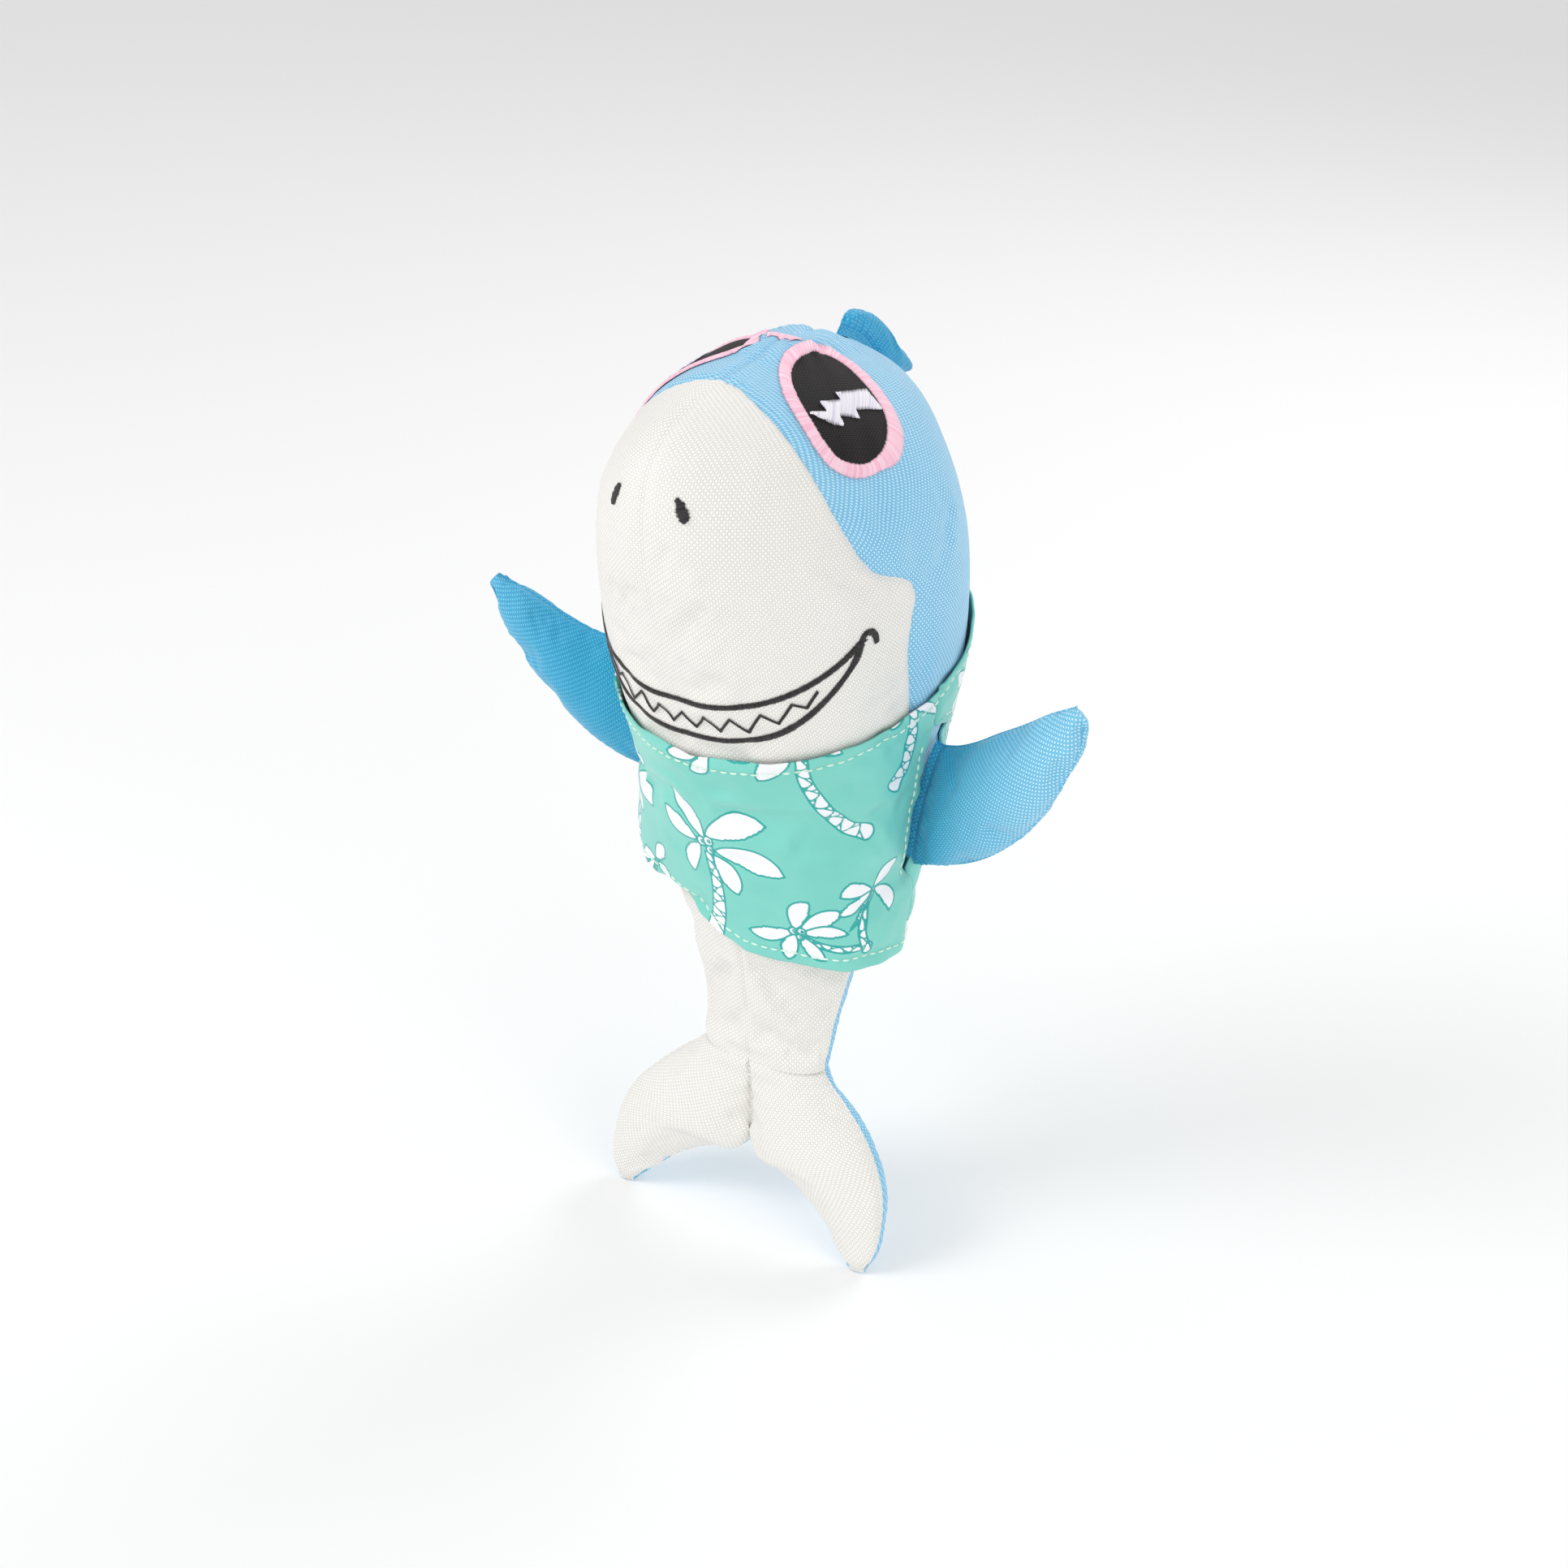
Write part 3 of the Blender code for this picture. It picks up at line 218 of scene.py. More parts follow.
def lumps(p, seed, scale):
    """Smooth noise over points in space."""
    p = np.asarray(p, float)
    local = np.random.RandomState(seed)
    out = 0
    for k in range(5):
        d = unit(local.normal(size=3))
        out = out + np.sin(p @ d * 2 * math.pi / (scale * (0.7 + 0.25 * k)) + local.uniform(0, 6.28))
    return out / 5


# --------------------------------------------------------------- materials
def srgb(code):
    v = [int(code[k:k + 2], 16) / 255 for k in (1, 3, 5)]
    return tuple((c / 12.92 if c <= 0.04045 else ((c + 0.055) / 1.055) ** 2.4) for c in v) + (1.0,)


def node(tree, kind, at, **values):
    n = tree.nodes.new(kind)
    n.location = at
    for key, val in values.items():
        setattr(n, key, val)
    return n


def math_node(tree, op, a, b=None, at=(0, 0), clamp=False):
    n = node(tree, "ShaderNodeMath", at, operation=op)
    n.use_clamp = clamp
    for k, v in enumerate((a, b)):
        if v is None:
            continue
        if isinstance(v, (int, float)):
            n.inputs[k].default_value = v
        else:
            tree.links.new(v, n.inputs[k])
    return n.outputs[0]


def weave_group():
    """Plain weave from UVs in millimetres: height and which set of threads lies on top."""
    g = bpy.data.node_groups.new("plain_weave", "ShaderNodeTree")
    g.interface.new_socket("Pitch", in_out="INPUT", socket_type="NodeSocketFloat")
    g.interface.new_socket("Height", in_out="OUTPUT", socket_type="NodeSocketFloat")
    g.interface.new_socket("Over", in_out="OUTPUT", socket_type="NodeSocketFloat")
    start = node(g, "NodeGroupInput", (-900, 0))
    end = node(g, "NodeGroupOutput", (900, 0))
    uv = node(g, "ShaderNodeUVMap", (-900, 200), uv_map="cloth")
    split = node(g, "ShaderNodeSeparateXYZ", (-700, 200))
    g.links.new(uv.outputs[0], split.inputs[0])
    axis = []
    for k in (0, 1):
        scaled = math_node(g, "DIVIDE", split.outputs[k], start.outputs[0])
        cell = math_node(g, "FLOOR", scaled)
        part = math_node(g, "SUBTRACT", scaled, cell)
        edge = math_node(g, "ABSOLUTE", math_node(g, "SUBTRACT", math_node(g, "MULTIPLY", part, 2.0), 1.0))
        axis.append((cell, edge))
    total = math_node(g, "ADD", axis[0][0], axis[1][0])
    over = math_node(g, "FLOORED_MODULO", total, 2.0)
    heights = []
    for across, along in ((axis[0][1], axis[1][1]), (axis[1][1], axis[0][1])):
        a2 = math_node(g, "MULTIPLY", across, across)
        b2 = math_node(g, "MULTIPLY", along, along)
        crown = math_node(g, "SUBTRACT", 1.0, a2)
        dip = math_node(g, "SUBTRACT", 1.0, math_node(g, "MULTIPLY", b2, 0.55))
        heights.append(math_node(g, "MULTIPLY", crown, dip))
    pick = node(g, "ShaderNodeMix", (500, 0), data_type="FLOAT")
    g.links.new(over, pick.inputs[0])
    g.links.new(heights[0], pick.inputs[2])
    g.links.new(heights[1], pick.inputs[3])
    g.links.new(pick.outputs[0], end.inputs[0])
    g.links.new(over, end.inputs[1])
    return g


WEAVE = weave_group()


def new_material(name, rough, sheen=0.0, spec=0.5):
    mat = bpy.data.materials.new(name)
    mat.use_nodes = True
    shader = mat.node_tree.nodes["Principled BSDF"]
    shader.inputs["Roughness"].default_value = rough
    shader.inputs["Sheen Weight"].default_value = sheen
    shader.inputs["Sheen Roughness"].default_value = 0.4
    shader.inputs["Specular IOR Level"].default_value = spec
    return mat, mat.node_tree, shader


def ramp_between(tree, factor, dark, light, at=(200, 200)):
    mix = node(tree, "ShaderNodeMix", at, data_type="RGBA")
    tree.links.new(factor, mix.inputs[0])
    mix.inputs[6].default_value = dark
    mix.inputs[7].default_value = light
    return mix.outputs[2]


def woven(name, dark, mid, light, pitch, rough=0.42, sheen=0.25, bump=0.00012, strength=0.7, spec=0.5, painted_shade=None):
    """Coarse glossy plain-weave polyester, with painted shade in the gaps between threads and painted highlights on the
    thread crowns.
    """
    mat, t, shader = new_material(name, rough, sheen, spec)
    g = node(t, "ShaderNodeGroup", (-600, 0))
    g.node_tree = WEAVE
    g.inputs[0].default_value = pitch
    geo = node(t, "ShaderNodeTexCoord", (-1100, -300))
    big = node(t, "ShaderNodeTexNoise", (-800, -300))
    big.inputs["Scale"].default_value = 35.0
    big.inputs["Detail"].default_value = 3.0
    t.links.new(geo.outputs["Object"], big.inputs["Vector"])
    fine = node(t, "ShaderNodeTexNoise", (-800, -600))
    fine.inputs["Scale"].default_value = 900.0
    fine.inputs["Detail"].default_value = 2.0
    t.links.new(geo.outputs["Object"], fine.inputs["Vector"])
    # Colour from the weave: the dark end is painted shade in the gaps between threads, and the light end is a painted
    # highlight on the crowns and on the threads lying on top; the two noises add tone that varies at random.
    tone = math_node(t, "ADD", math_node(t, "MULTIPLY", g.outputs[0], 0.48),
                     math_node(t, "MULTIPLY", g.outputs[1], 0.36))
    tone = math_node(t, "ADD", tone, math_node(t, "MULTIPLY", big.outputs[0], 0.12))
    tone = math_node(t, "ADD", tone, math_node(t, "MULTIPLY", fine.outputs[0], 0.10), clamp=True)
    ramp = node(t, "ShaderNodeValToRGB", (0, 300))
    ramp.color_ramp.elements[0].position = 0.12
    ramp.color_ramp.elements[0].color = dark
    ramp.color_ramp.elements[1].position = 0.95
    ramp.color_ramp.elements[1].color = light
    between = ramp.color_ramp.elements.new(0.5)
    between.color = mid
    t.links.new(tone, ramp.inputs[0])
    colour = ramp.outputs[0]
    # Painted shade: the colour is multiplied by a deeper cyan, weighted per vertex, to darken the fin faces near their
    # roots.
    if painted_shade:
        where = node(t, "ShaderNodeAttribute", (0, 600), attribute_name="painted_shade")
        mix = node(t, "ShaderNodeMix", (200, 400), data_type="RGBA", blend_type="MULTIPLY")
        t.links.new(where.outputs["Fac"], mix.inputs[0])
        t.links.new(colour, mix.inputs[6])
        mix.inputs[7].default_value = painted_shade
        colour = mix.outputs[2]
    t.links.new(colour, shader.inputs["Base Color"])
    gloss = math_node(t, "SUBTRACT", rough + 0.18, math_node(t, "MULTIPLY", g.outputs[0], 0.22))
    gloss = math_node(t, "ADD", gloss, math_node(t, "MULTIPLY", g.outputs[1], 0.06))
    t.links.new(gloss, shader.inputs["Roughness"])
    rise = math_node(t, "ADD", g.outputs[0], math_node(t, "MULTIPLY", fine.outputs[0], 0.35))
    b = node(t, "ShaderNodeBump", (300, -300))
    b.inputs["Strength"].default_value = strength
    b.inputs["Distance"].default_value = bump
    t.links.new(rise, b.inputs["Height"])
    t.links.new(b.outputs[0], shader.inputs["Normal"])
    return mat


def plain(name, colour, second, rough, sheen, scale, bump, spec=0.5, threads=False):
    """Smooth cloth or thread with slight colour variation and fine grain."""
    mat, t, shader = new_material(name, rough, sheen, spec)
    geo = node(t, "ShaderNodeTexCoord", (-900, 0))
    noise = node(t, "ShaderNodeTexNoise", (-600, 0))
    noise.inputs["Scale"].default_value = scale
    noise.inputs["Detail"].default_value = 4.0
    t.links.new(geo.outputs["Object"], noise.inputs["Vector"])
    wide = node(t, "ShaderNodeTexNoise", (-600, -300))
    wide.inputs["Scale"].default_value = 45.0
    t.links.new(geo.outputs["Object"], wide.inputs["Vector"])
    tone = math_node(t, "ADD", math_node(t, "MULTIPLY", noise.outputs[0], 0.6),
                     math_node(t, "MULTIPLY", wide.outputs[0], 0.4), clamp=True)
    if threads:
        each = node(t, "ShaderNodeAttribute", (-600, 300), attribute_name="tone")
        tone = math_node(t, "ADD", math_node(t, "MULTIPLY", tone, 0.4),
                         math_node(t, "MULTIPLY", each.outputs["Fac"], 0.7), clamp=True)
    t.links.new(ramp_between(t, tone, second, colour), shader.inputs["Base Color"])
    t.links.new(math_node(t, "ADD", math_node(t, "MULTIPLY", noise.outputs[0], 0.16), rough - 0.08),
                shader.inputs["Roughness"])
    b = node(t, "ShaderNodeBump", (200, -300))
    b.inputs["Strength"].default_value = 0.4
    b.inputs["Distance"].default_value = bump
    t.links.new(noise.outputs[0], b.inputs["Height"])
    t.links.new(b.outputs[0], shader.inputs["Normal"])
    return mat


M = {
    # Woven colours run dark, mid, light: from painted shade in the thread gaps up to a painted highlight on the thread
    # crowns.
    "blue": woven("blue_cloth", srgb("#3E97CC"), srgb("#88CFF3"), srgb("#CDF0FF"), 0.80, bump=0.00016),
    # fin cloth: its last colour is a painted shade, laid on near the fin roots and over the right fin
    "fin": woven("fin_cloth", srgb("#3096C6"), srgb("#77CAEC"), srgb("#C8EFFF"), 0.80, bump=0.00016, painted_shade=srgb("#62D6EA")),
    "cream": woven("cream_cloth", srgb("#CFCAC3"), srgb("#EFECE6"), srgb("#FFFFFC"), 0.80, 0.45, 0.15),
    "lens": woven("lens_cloth", srgb("#050404"), srgb("#100E0E"), srgb("#302C2C"), 0.6, 0.55, 0.0, spec=0.25),
    "teal": plain("shirt_teal", srgb("#7ADFD0"), srgb("#70D7C7"), 0.38, 0.2, 700, 0.00004),
    "line": plain("shirt_outline", srgb("#12A6A8"), srgb("#109C9F"), 0.42, 0.1, 700, 0.00004),
    "print": plain("shirt_white", srgb("#F7F7FA"), srgb("#ECEEF4"), 0.42, 0.1, 700, 0.00004),
    "black": plain("black_thread", srgb("#3A3636"), srgb("#0C0A0A"), 0.42, 0.1, 2500, 0.00003, 0.4, True),
    "pink": plain("pink_thread", srgb("#FFE2EE"), srgb("#F9B2CB"), 0.36, 0.3, 2500, 0.00003, 0.5, True),
    "white": plain("white_thread", srgb("#FFFDFF"), srgb("#D2CCE4"), 0.36, 0.3, 2500, 0.00003, 0.5, True),
    "stitch": plain("edge_thread", srgb("#EAFCF1"), srgb("#C2ECD5"), 0.45, 0.2, 2500, 0.00003, 0.5, True),
    "fill": plain("fibrefill", srgb("#FBFAF7"), srgb("#E3E1DC"), 0.85, 0.4, 1200, 0.0006),
    "plastic": plain("squeaker_plastic", srgb("#E6E5E0"), srgb("#DAD9D4"), 0.38, 0.0, 400, 0.00002),
}


# ------------------------------------------------------------ mesh builders
def make(name, verts, faces, mats, uv=None, which=None, normals=None):
    mesh = bpy.data.meshes.new(name)
    world = (np.asarray(verts, float) + BASE) * MM
    mesh.from_pydata(world.tolist(), [], [tuple(int(i) for i in f) for f in faces])
    for m in (mats if isinstance(mats, (list, tuple)) else [mats]):
        mesh.materials.append(M[m])
    if which is not None:
        mesh.polygons.foreach_set("material_index", np.asarray(which, np.int32))
    if uv is not None:
        layer = mesh.uv_layers.new(name="cloth")
        loops = np.zeros(len(mesh.loops), np.int32)
        mesh.loops.foreach_get("vertex_index", loops)
        layer.data.foreach_set("uv", np.asarray(uv, np.float32)[loops].ravel())
    mesh.update()
    mesh.shade_smooth()
    obj = bpy.data.objects.new(name, mesh)
    bpy.context.scene.collection.objects.link(obj)
    if normals is not None:
        mesh.normals_split_custom_set_from_vertices([tuple(n) for n in normals])
    return obj


def float_layer(obj, name, values):
    layer = obj.data.attributes.new(name, "FLOAT", "POINT")
    layer.data.foreach_set("value", np.asarray(values, np.float32).ravel())


def grid_faces(rows, cols, flip=False, wrap=False):
    out = []
    last = cols if wrap else cols - 1
    for i in range(rows - 1):
        for j in range(last):
            k = (j + 1) % cols
            q = (i * cols + j, i * cols + k, (i + 1) * cols + k, (i + 1) * cols + j)
            out.append(q[::-1] if flip else q)
    return out


def finer(grid, wrap=False):
    """Twice the resolution along the first axis, through the given points (cubic)."""
    g = np.asarray(grid, float)
    if wrap:
        before, after, far = np.roll(g, 1, 0), np.roll(g, -1, 0), np.roll(g, -2, 0)
    else:
        pad = np.concatenate([2 * g[:1] - g[1:2], g, 2 * g[-1:] - g[-2:-1], 2 * g[-1:] - g[-2:-1]])
        before, after, far = pad[:len(g)], pad[2:len(g) + 2], np.concatenate([pad[3:len(g) + 2], pad[-1:]])
    mid = (-before + 9 * g + 9 * after - far) / 16
    out = np.empty((2 * len(g),) + g.shape[1:])
    out[0::2], out[1::2] = g, mid
    return out if wrap else out[:-1]


def settle(points, faces, seam, hold, pressure=4.0, ease=0.01, pull=0.06, frames=18, cap=2.5, inner=None):
    """Cloth simulation of a stuffed cover: air pressure, seams drawn shorter, every move capped.
    Points are in millimetres; seam and hold are weights from 0 to 1."""
    scale = 0.01
    mesh = bpy.data.meshes.new("settling")
    mesh.from_pydata((points * scale).tolist(), [], [tuple(int(i) for i in f) for f in faces])
    obj = bpy.data.objects.new("settling", mesh)
    bpy.context.scene.collection.objects.link(obj)
    for title, weights in (("seam", seam), ("hold", hold)):
        group = obj.vertex_groups.new(name=title)
        for i in np.nonzero(np.asarray(weights) > 0.001)[0]:
            group.add([int(i)], float(weights[i]), "REPLACE")
    mod = obj.modifiers.new("settle", "CLOTH")
    cs = mod.settings
    cs.quality = 6
    cs.mass = 0.25
    cs.tension_stiffness = cs.compression_stiffness = 25.0
    cs.shear_stiffness = 12.0
    cs.bending_stiffness = 0.6
    cs.tension_damping = cs.compression_damping = cs.shear_damping = 8.0
    cs.air_damping = 3.0
    cs.use_pressure = True
    cs.uniform_pressure_force = pressure
    cs.vertex_group_mass = "hold"
    cs.pin_stiffness = 1.0
    cs.vertex_group_shrink = "seam"
    cs.shrink_min = -ease
    cs.shrink_max = pull
    cs.effector_weights.gravity = 0.0
    mod.collision_settings.use_collision = False
    mod.point_cache.frame_start = 1
    mod.point_cache.frame_end = frames
    for f in range(1, frames + 1):
        bpy.context.scene.frame_set(f)
    shaped = obj.evaluated_get(bpy.context.evaluated_depsgraph_get()).to_mesh()
    co = np.empty(len(shaped.vertices) * 3)
    shaped.vertices.foreach_get("co", co)
    moved = co.reshape(-1, 3) / scale
    bpy.context.scene.frame_set(1)
    bpy.data.objects.remove(obj, do_unlink=True)
    delta = moved - points
    length = np.linalg.norm(delta, axis=1, keepdims=True)
    return points + delta * np.minimum(1.0, cap / np.maximum(length, 1e-6)) * (length < 60)


class Seams:
    """Nearest seam of a set, each given as points with a depth and a gather height for each point."""

    def __init__(self, lines):
        cols = []
        for line, depth, gather in lines:
            line = np.asarray(line, float)
            extra = np.stack([np.broadcast_to(depth, len(line)), np.broadcast_to(gather, len(line))], -1)
            full = np.concatenate([line, extra], 1)
            run = np.concatenate([[0], np.cumsum(np.linalg.norm(np.diff(line, axis=0), axis=1))])
            want = np.linspace(0, run[-1], max(2, int(run[-1] / 0.5)))
            fine = np.stack([np.interp(want, run, full[:, k]) for k in range(5)] + [want + 1000 * len(cols)], -1)
            cols.append(fine)
        self.rows = np.concatenate(cols)
        self.tree = KDTree(len(self.rows))
        for i, row in enumerate(self.rows):
            self.tree.insert(row[:3], i)
        self.tree.balance()

    def relief(self, points, seed, reach=5.0, pitch=3.2):
        """Height over the plain surface: a valley at the seam, a shoulder and drawn-up gathers."""
        flat = np.asarray(points, float).reshape(-1, 3)
        idx, dist = np.empty(len(flat), int), np.empty(len(flat))
        for i, p in enumerate(flat):
            _, idx[i], dist[i] = self.tree.find(p)
        depth, gather, along = self.rows[idx, 3], self.rows[idx, 4], self.rows[idx, 5]
        valley = depth * (0.3 * np.exp(-((dist - 3.0) / 1.8) ** 2) - np.exp(-(dist / 1.0) ** 2))
        phase = 2 * math.pi * along / pitch + 2.0 * wobble(along, seed, 7.0)
        size = gather * (0.6 + 0.4 * wobble(along, seed + 1, 9.0))
        length = np.maximum(reach * (0.7 + 0.5 * wobble(along, seed + 2, 6.0)), 0.8)
        ribs = size * np.sin(phase) * np.exp(-dist / length) * (1 - np.exp(-(dist / 0.6) ** 2))
        return (valley + ribs).reshape(np.asarray(points).shape[:-1])


def sample(field, rows, cols, wrap_cols):
    """Smooth value of a grid of points at fractional rows and columns."""
    rows, cols = np.broadcast_arrays(np.asarray(rows, float), np.asarray(cols, float))
    n, m = field.shape[:2]

    def weights(f):
        f = f[..., None]
        return (0.5 * (-f + 2 * f ** 2 - f ** 3), 0.5 * (2 - 5 * f ** 2 + 3 * f ** 3),
                0.5 * (f + 4 * f ** 2 - 3 * f ** 3), 0.5 * (f ** 3 - f ** 2))

    i = np.clip(np.floor(rows).astype(int), 0, n - 2)
    j = np.floor(cols).astype(int)
    wi, wj = weights(np.clip(rows - i, 0, 1)), weights(cols - j)
    out = 0
    for a in range(4):
        ia = np.clip(i + a - 1, 0, n - 1)
        for b in range(4):
            jb = (j + b - 1) % m if wrap_cols else np.clip(j + b - 1, 0, m - 1)
            out = out + wi[a] * wj[b] * field[ia, jb]
    return out


# ------------------------------------------------- the body, stuffed and sewn
SIM_ROWS, SIM_COLS = 70, 84
sim_s = np.linspace(0, CROWN - 0.08, SIM_ROWS)
sim_deg = np.arange(SIM_COLS) * 360.0 / SIM_COLS
S0, D0 = np.meshgrid(sim_s, sim_deg, indexing="ij")


def sink(s):
    """How far the cover starts under its final surface, before the stuffing swells it."""
    return 1.2 * np.clip(np.minimum(s / 0.5, (CROWN - s) / 0.5), 0, 1)


start = skin(S0, D0, sink(S0))
near = np.abs((D0 + 180) % 360 - 180)
edge_mm = np.abs(near - seam_deg(S0)) * np.linalg.norm(surface(S0, D0 + 0.5) - surface(S0, D0 - 0.5), axis=-1)
edge_mm = np.where(S0 > APEX, 99.0, edge_mm)
front_mm = near * np.linalg.norm(surface(S0, D0 + 0.5) - surface(S0, D0 - 0.5), axis=-1)
back_mm = (180 - near) * np.linalg.norm(surface(S0, D0 + 0.5) - surface(S0, D0 - 0.5), axis=-1)
seam_w = np.exp(-(edge_mm / 4.0) ** 2) + 0.7 * np.exp(-(front_mm / 4.0) ** 2) + 0.8 * np.exp(-(back_mm / 4.0) ** 2)
seam_w = np.clip(seam_w * (0.75 + 0.25 * lumps(start, 5, 14.0)), 0, 1)
hold_w = np.clip(1 - S0 / 0.5, 0, 1)
hold_w = np.maximum(hold_w, np.where(S0 > CROWN - 0.3, 1.0, 0.0))
body_faces = grid_faces(SIM_ROWS, SIM_COLS, wrap=True)
flat_start = start.reshape(-1, 3)
low_pole, top_pole = len(flat_start), len(flat_start) + 1
poles = np.array([start[0].mean(0), start[-1].mean(0)])
for j in range(SIM_COLS):
    k = (j + 1) % SIM_COLS
    body_faces.append((k, j, low_pole))
    body_faces.append(((SIM_ROWS - 1) * SIM_COLS + j, (SIM_ROWS - 1) * SIM_COLS + k, top_pole))
settled = settle(np.concatenate([flat_start, poles]), body_faces, np.append(seam_w.ravel(), [0, 0]),
                 np.append(hold_w.ravel(), [1, 1]), pressure=3.0, pull=0.08, frames=20, cap=3.0)
PUFF = settled[:-2].reshape(start.shape) - start
PUFF = PUFF


def blurred(field, size):
    """Local mean over a window, wrapping round the body."""
    out = field
    for _ in range(2):
        rows_ = np.pad(out, ((size, size), (0, 0)), mode="edge")
        out = np.mean([rows_[k:k + len(field)] for k in range(2 * size + 1)], 0)
        out = np.mean([np.roll(out, k, 1) for k in range(-size, size + 1)], 0)
    return out


shift = (PUFF * normal(S0, D0)).sum(-1)
folds = np.clip(1.3 * (shift - blurred(shift, 6)), -1.6, 1.6)
PUFF = 0.5 * (PUFF - normal(S0, D0) * shift[..., None]) + normal(S0, D0) * (sink(S0) + folds)[..., None]
print("body puff mm: mean %.2f low %.2f high %.2f" % (shift.mean(), shift.min(), shift.max()))


def body_point(s, deg, depth=0.0):
    """Point on the stuffed body."""
    s, deg = np.broadcast_arrays(np.asarray(s, float), np.asarray(deg, float))
    rows = np.clip(s / sim_s[-1] * (SIM_ROWS - 1), 0, SIM_ROWS - 1)
    puff = sample(PUFF, rows, deg * SIM_COLS / 360.0, True)
    fade = np.clip((CROWN - s) / 0.5, 0, 1)[..., None]
    return skin(s, deg, sink(s) + depth) + puff * fade


seam_s = np.linspace(0, APEX, 400)
top_s = np.linspace(APEX, CROWN - 0.3, 60)
seam_depth = np.interp(seam_s, [0, 9, 11, APEX], [0.75, 0.7, 0.8, 0.9])
seam_gather = np.interp(seam_s, [0, 3, 8.5, 9.5, 11.2, 11.8, APEX], [0.22, 0.10, 0.10, 0.12, 0.22, 0.42, 0.45])
mid_depth = np.interp(seam_s, [0, 3.5, 5, 8.2, 9.2, 11.5, APEX], [0.8, 0.7, 0.2, 0.2, 0.5, 0.6, 0.5])
mid_gather = np.interp(seam_s, [0, 3, 5, 8.4, 9.2, 10.4, 11.4, APEX], [0.15, 0.1, 0.02, 0.05, 0.38, 0.5, 0.25, 0.15])
BODY_SEAMS = Seams([
    (body_point(seam_s, seam_deg(seam_s)), seam_depth, seam_gather),
    (body_point(seam_s, -seam_deg(seam_s)), seam_depth, seam_gather),
    (body_point(seam_s, 0.0 * seam_s), mid_depth, mid_gather),
    (body_point(top_s, 0.0 * top_s), 0.9, 0.25),
    (body_point(np.linspace(0, CROWN - 0.3, 400), 180.0), 0.8, 0.22),
])


def rows_by_length(low, high, spacing, deg):
    probe = np.linspace(low, high, 600)
    run = surface(probe, deg)
    key = np.concatenate([[0], np.cumsum(np.linalg.norm(np.diff(run, axis=0), axis=1))])
    return np.interp(np.linspace(0, key[-1], int(key[-1] / spacing) + 1), key, probe)


def panel(name, side, front, colour, nodes):
    high = APEX if front else CROWN - 0.02
    s = rows_by_length(0.0, high, 0.9, 30.0 if front else 150.0)
    if not front:
        s = np.unique(np.concatenate([s, rows_by_length(APEX - 0.4, APEX + 0.6, 0.5, 0.0)]))
    cols = 84 if front else 104
    f = np.linspace(0, 1, cols)
    edge = seam_deg(s)[:, None]
    deg = edge * f if front else 180 + (edge - 180) * f
    S = np.repeat(s[:, None], cols, 1)
    base = body_point(S, side * deg)
    n = normal(S, side * deg)
    rise = BODY_SEAMS.relief(base, 11)
    rise = rise + 0.22 * lumps(base, 3, 26.0) + 0.10 * lumps(base, 4, 9.0)
    fade = np.clip((CROWN - S) / 0.3, 0, 1)
    low = np.clip(S / 0.14, 0, 1)
    pts = base + n * (rise * fade * low - 0.3 * (1 - low))[..., None]
    if not front:
        pts[-1] = (0.0, -9.0, 299.5)
    across = np.concatenate([np.zeros((len(s), 1)), np.cumsum(np.linalg.norm(np.diff(pts, axis=1), axis=2), 1)], 1)
    spine = np.concatenate([[0], np.cumsum(np.linalg.norm(np.diff(surface(s, 0.0 if front else 180.0), axis=0), axis=1))])
    uv = np.stack([across * side, np.repeat(spine[:, None], cols, 1)], -1).reshape(-1, 2)
    flip = (side > 0) != front
    obj = make(name, pts.reshape(-1, 3), grid_faces(len(s), cols, flip), colour, uv)
    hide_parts(*nodes)
    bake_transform(obj)
    return obj


body_panels = []
for side, word in ((1, "left"), (-1, "right")):
    body_panels.append(panel(f"belly_{word}", side, True, "cream", (f"belly_panel_{word}", f"tail_front_{word}")))
    body_panels.append(panel(f"back_{word}", side, False, "blue", (f"back_panel_{word}", f"tail_back_{word}")))


# -------------------------------------------------------- cushions (fins)
def pillow(front, back, rest, seed, pull=0.05, cap=1.4, pressure=4.0):
    """Settles a two-sided cushion given as two grids that share their outline; row 0 is its root."""
    rows, cols = front.shape[:2]
    index = np.arange(rows * cols).reshape(rows, cols)
    other = index.copy()
    spare = rows * cols + np.arange((rows - 1) * (cols - 2)).reshape(rows - 1, cols - 2)
    other[:-1, 1:-1] = spare
    points = np.concatenate([front.reshape(-1, 3), back[:-1, 1:-1].reshape(-1, 3)])
    faces = []
    for grid, flip in ((index, False), (other, True)):
        for i in range(rows - 1):
            for j in range(cols - 1):
                q = (grid[i, j], grid[i, j + 1], grid[i + 1, j + 1], grid[i + 1, j])
                faces.append(q[::-1] if flip else q)
    volume = 0.0
    for q in faces:
        a, b, c, d = points[list(q)]
        volume += np.dot(a, np.cross(b, c)) + np.dot(a, np.cross(c, d))
    if volume < 0:
        faces = [q[::-1] for q in faces]
    seam = np.zeros(len(points))
    rim = np.concatenate([index[:, 0], index[:, -1], index[-1]])
    seam[rim] = 1.0
    seam[np.concatenate([index[:, 1], index[:, -2], other[:, 1], other[:, -2]])] = 0.35
    seam *= 0.7 + 0.3 * lumps(points, seed, 9.0)
    hold = np.zeros(len(points))
    hold[np.concatenate([index[0], other[0]])] = 1.0
    hold[np.concatenate([index[1], other[1]])] = 0.6
    hold[rim] = np.maximum(hold[rim], rest)
    moved = settle(points, faces, np.clip(seam, 0, 1), hold, pressure=pressure, pull=pull, frames=16, cap=cap)
    return moved[index], moved[other]


def fine_grid(grid, times):
    for _ in range(times):
        grid = np.swapaxes(finer(np.swapaxes(finer(grid), 0, 1)), 0, 1)
    return grid


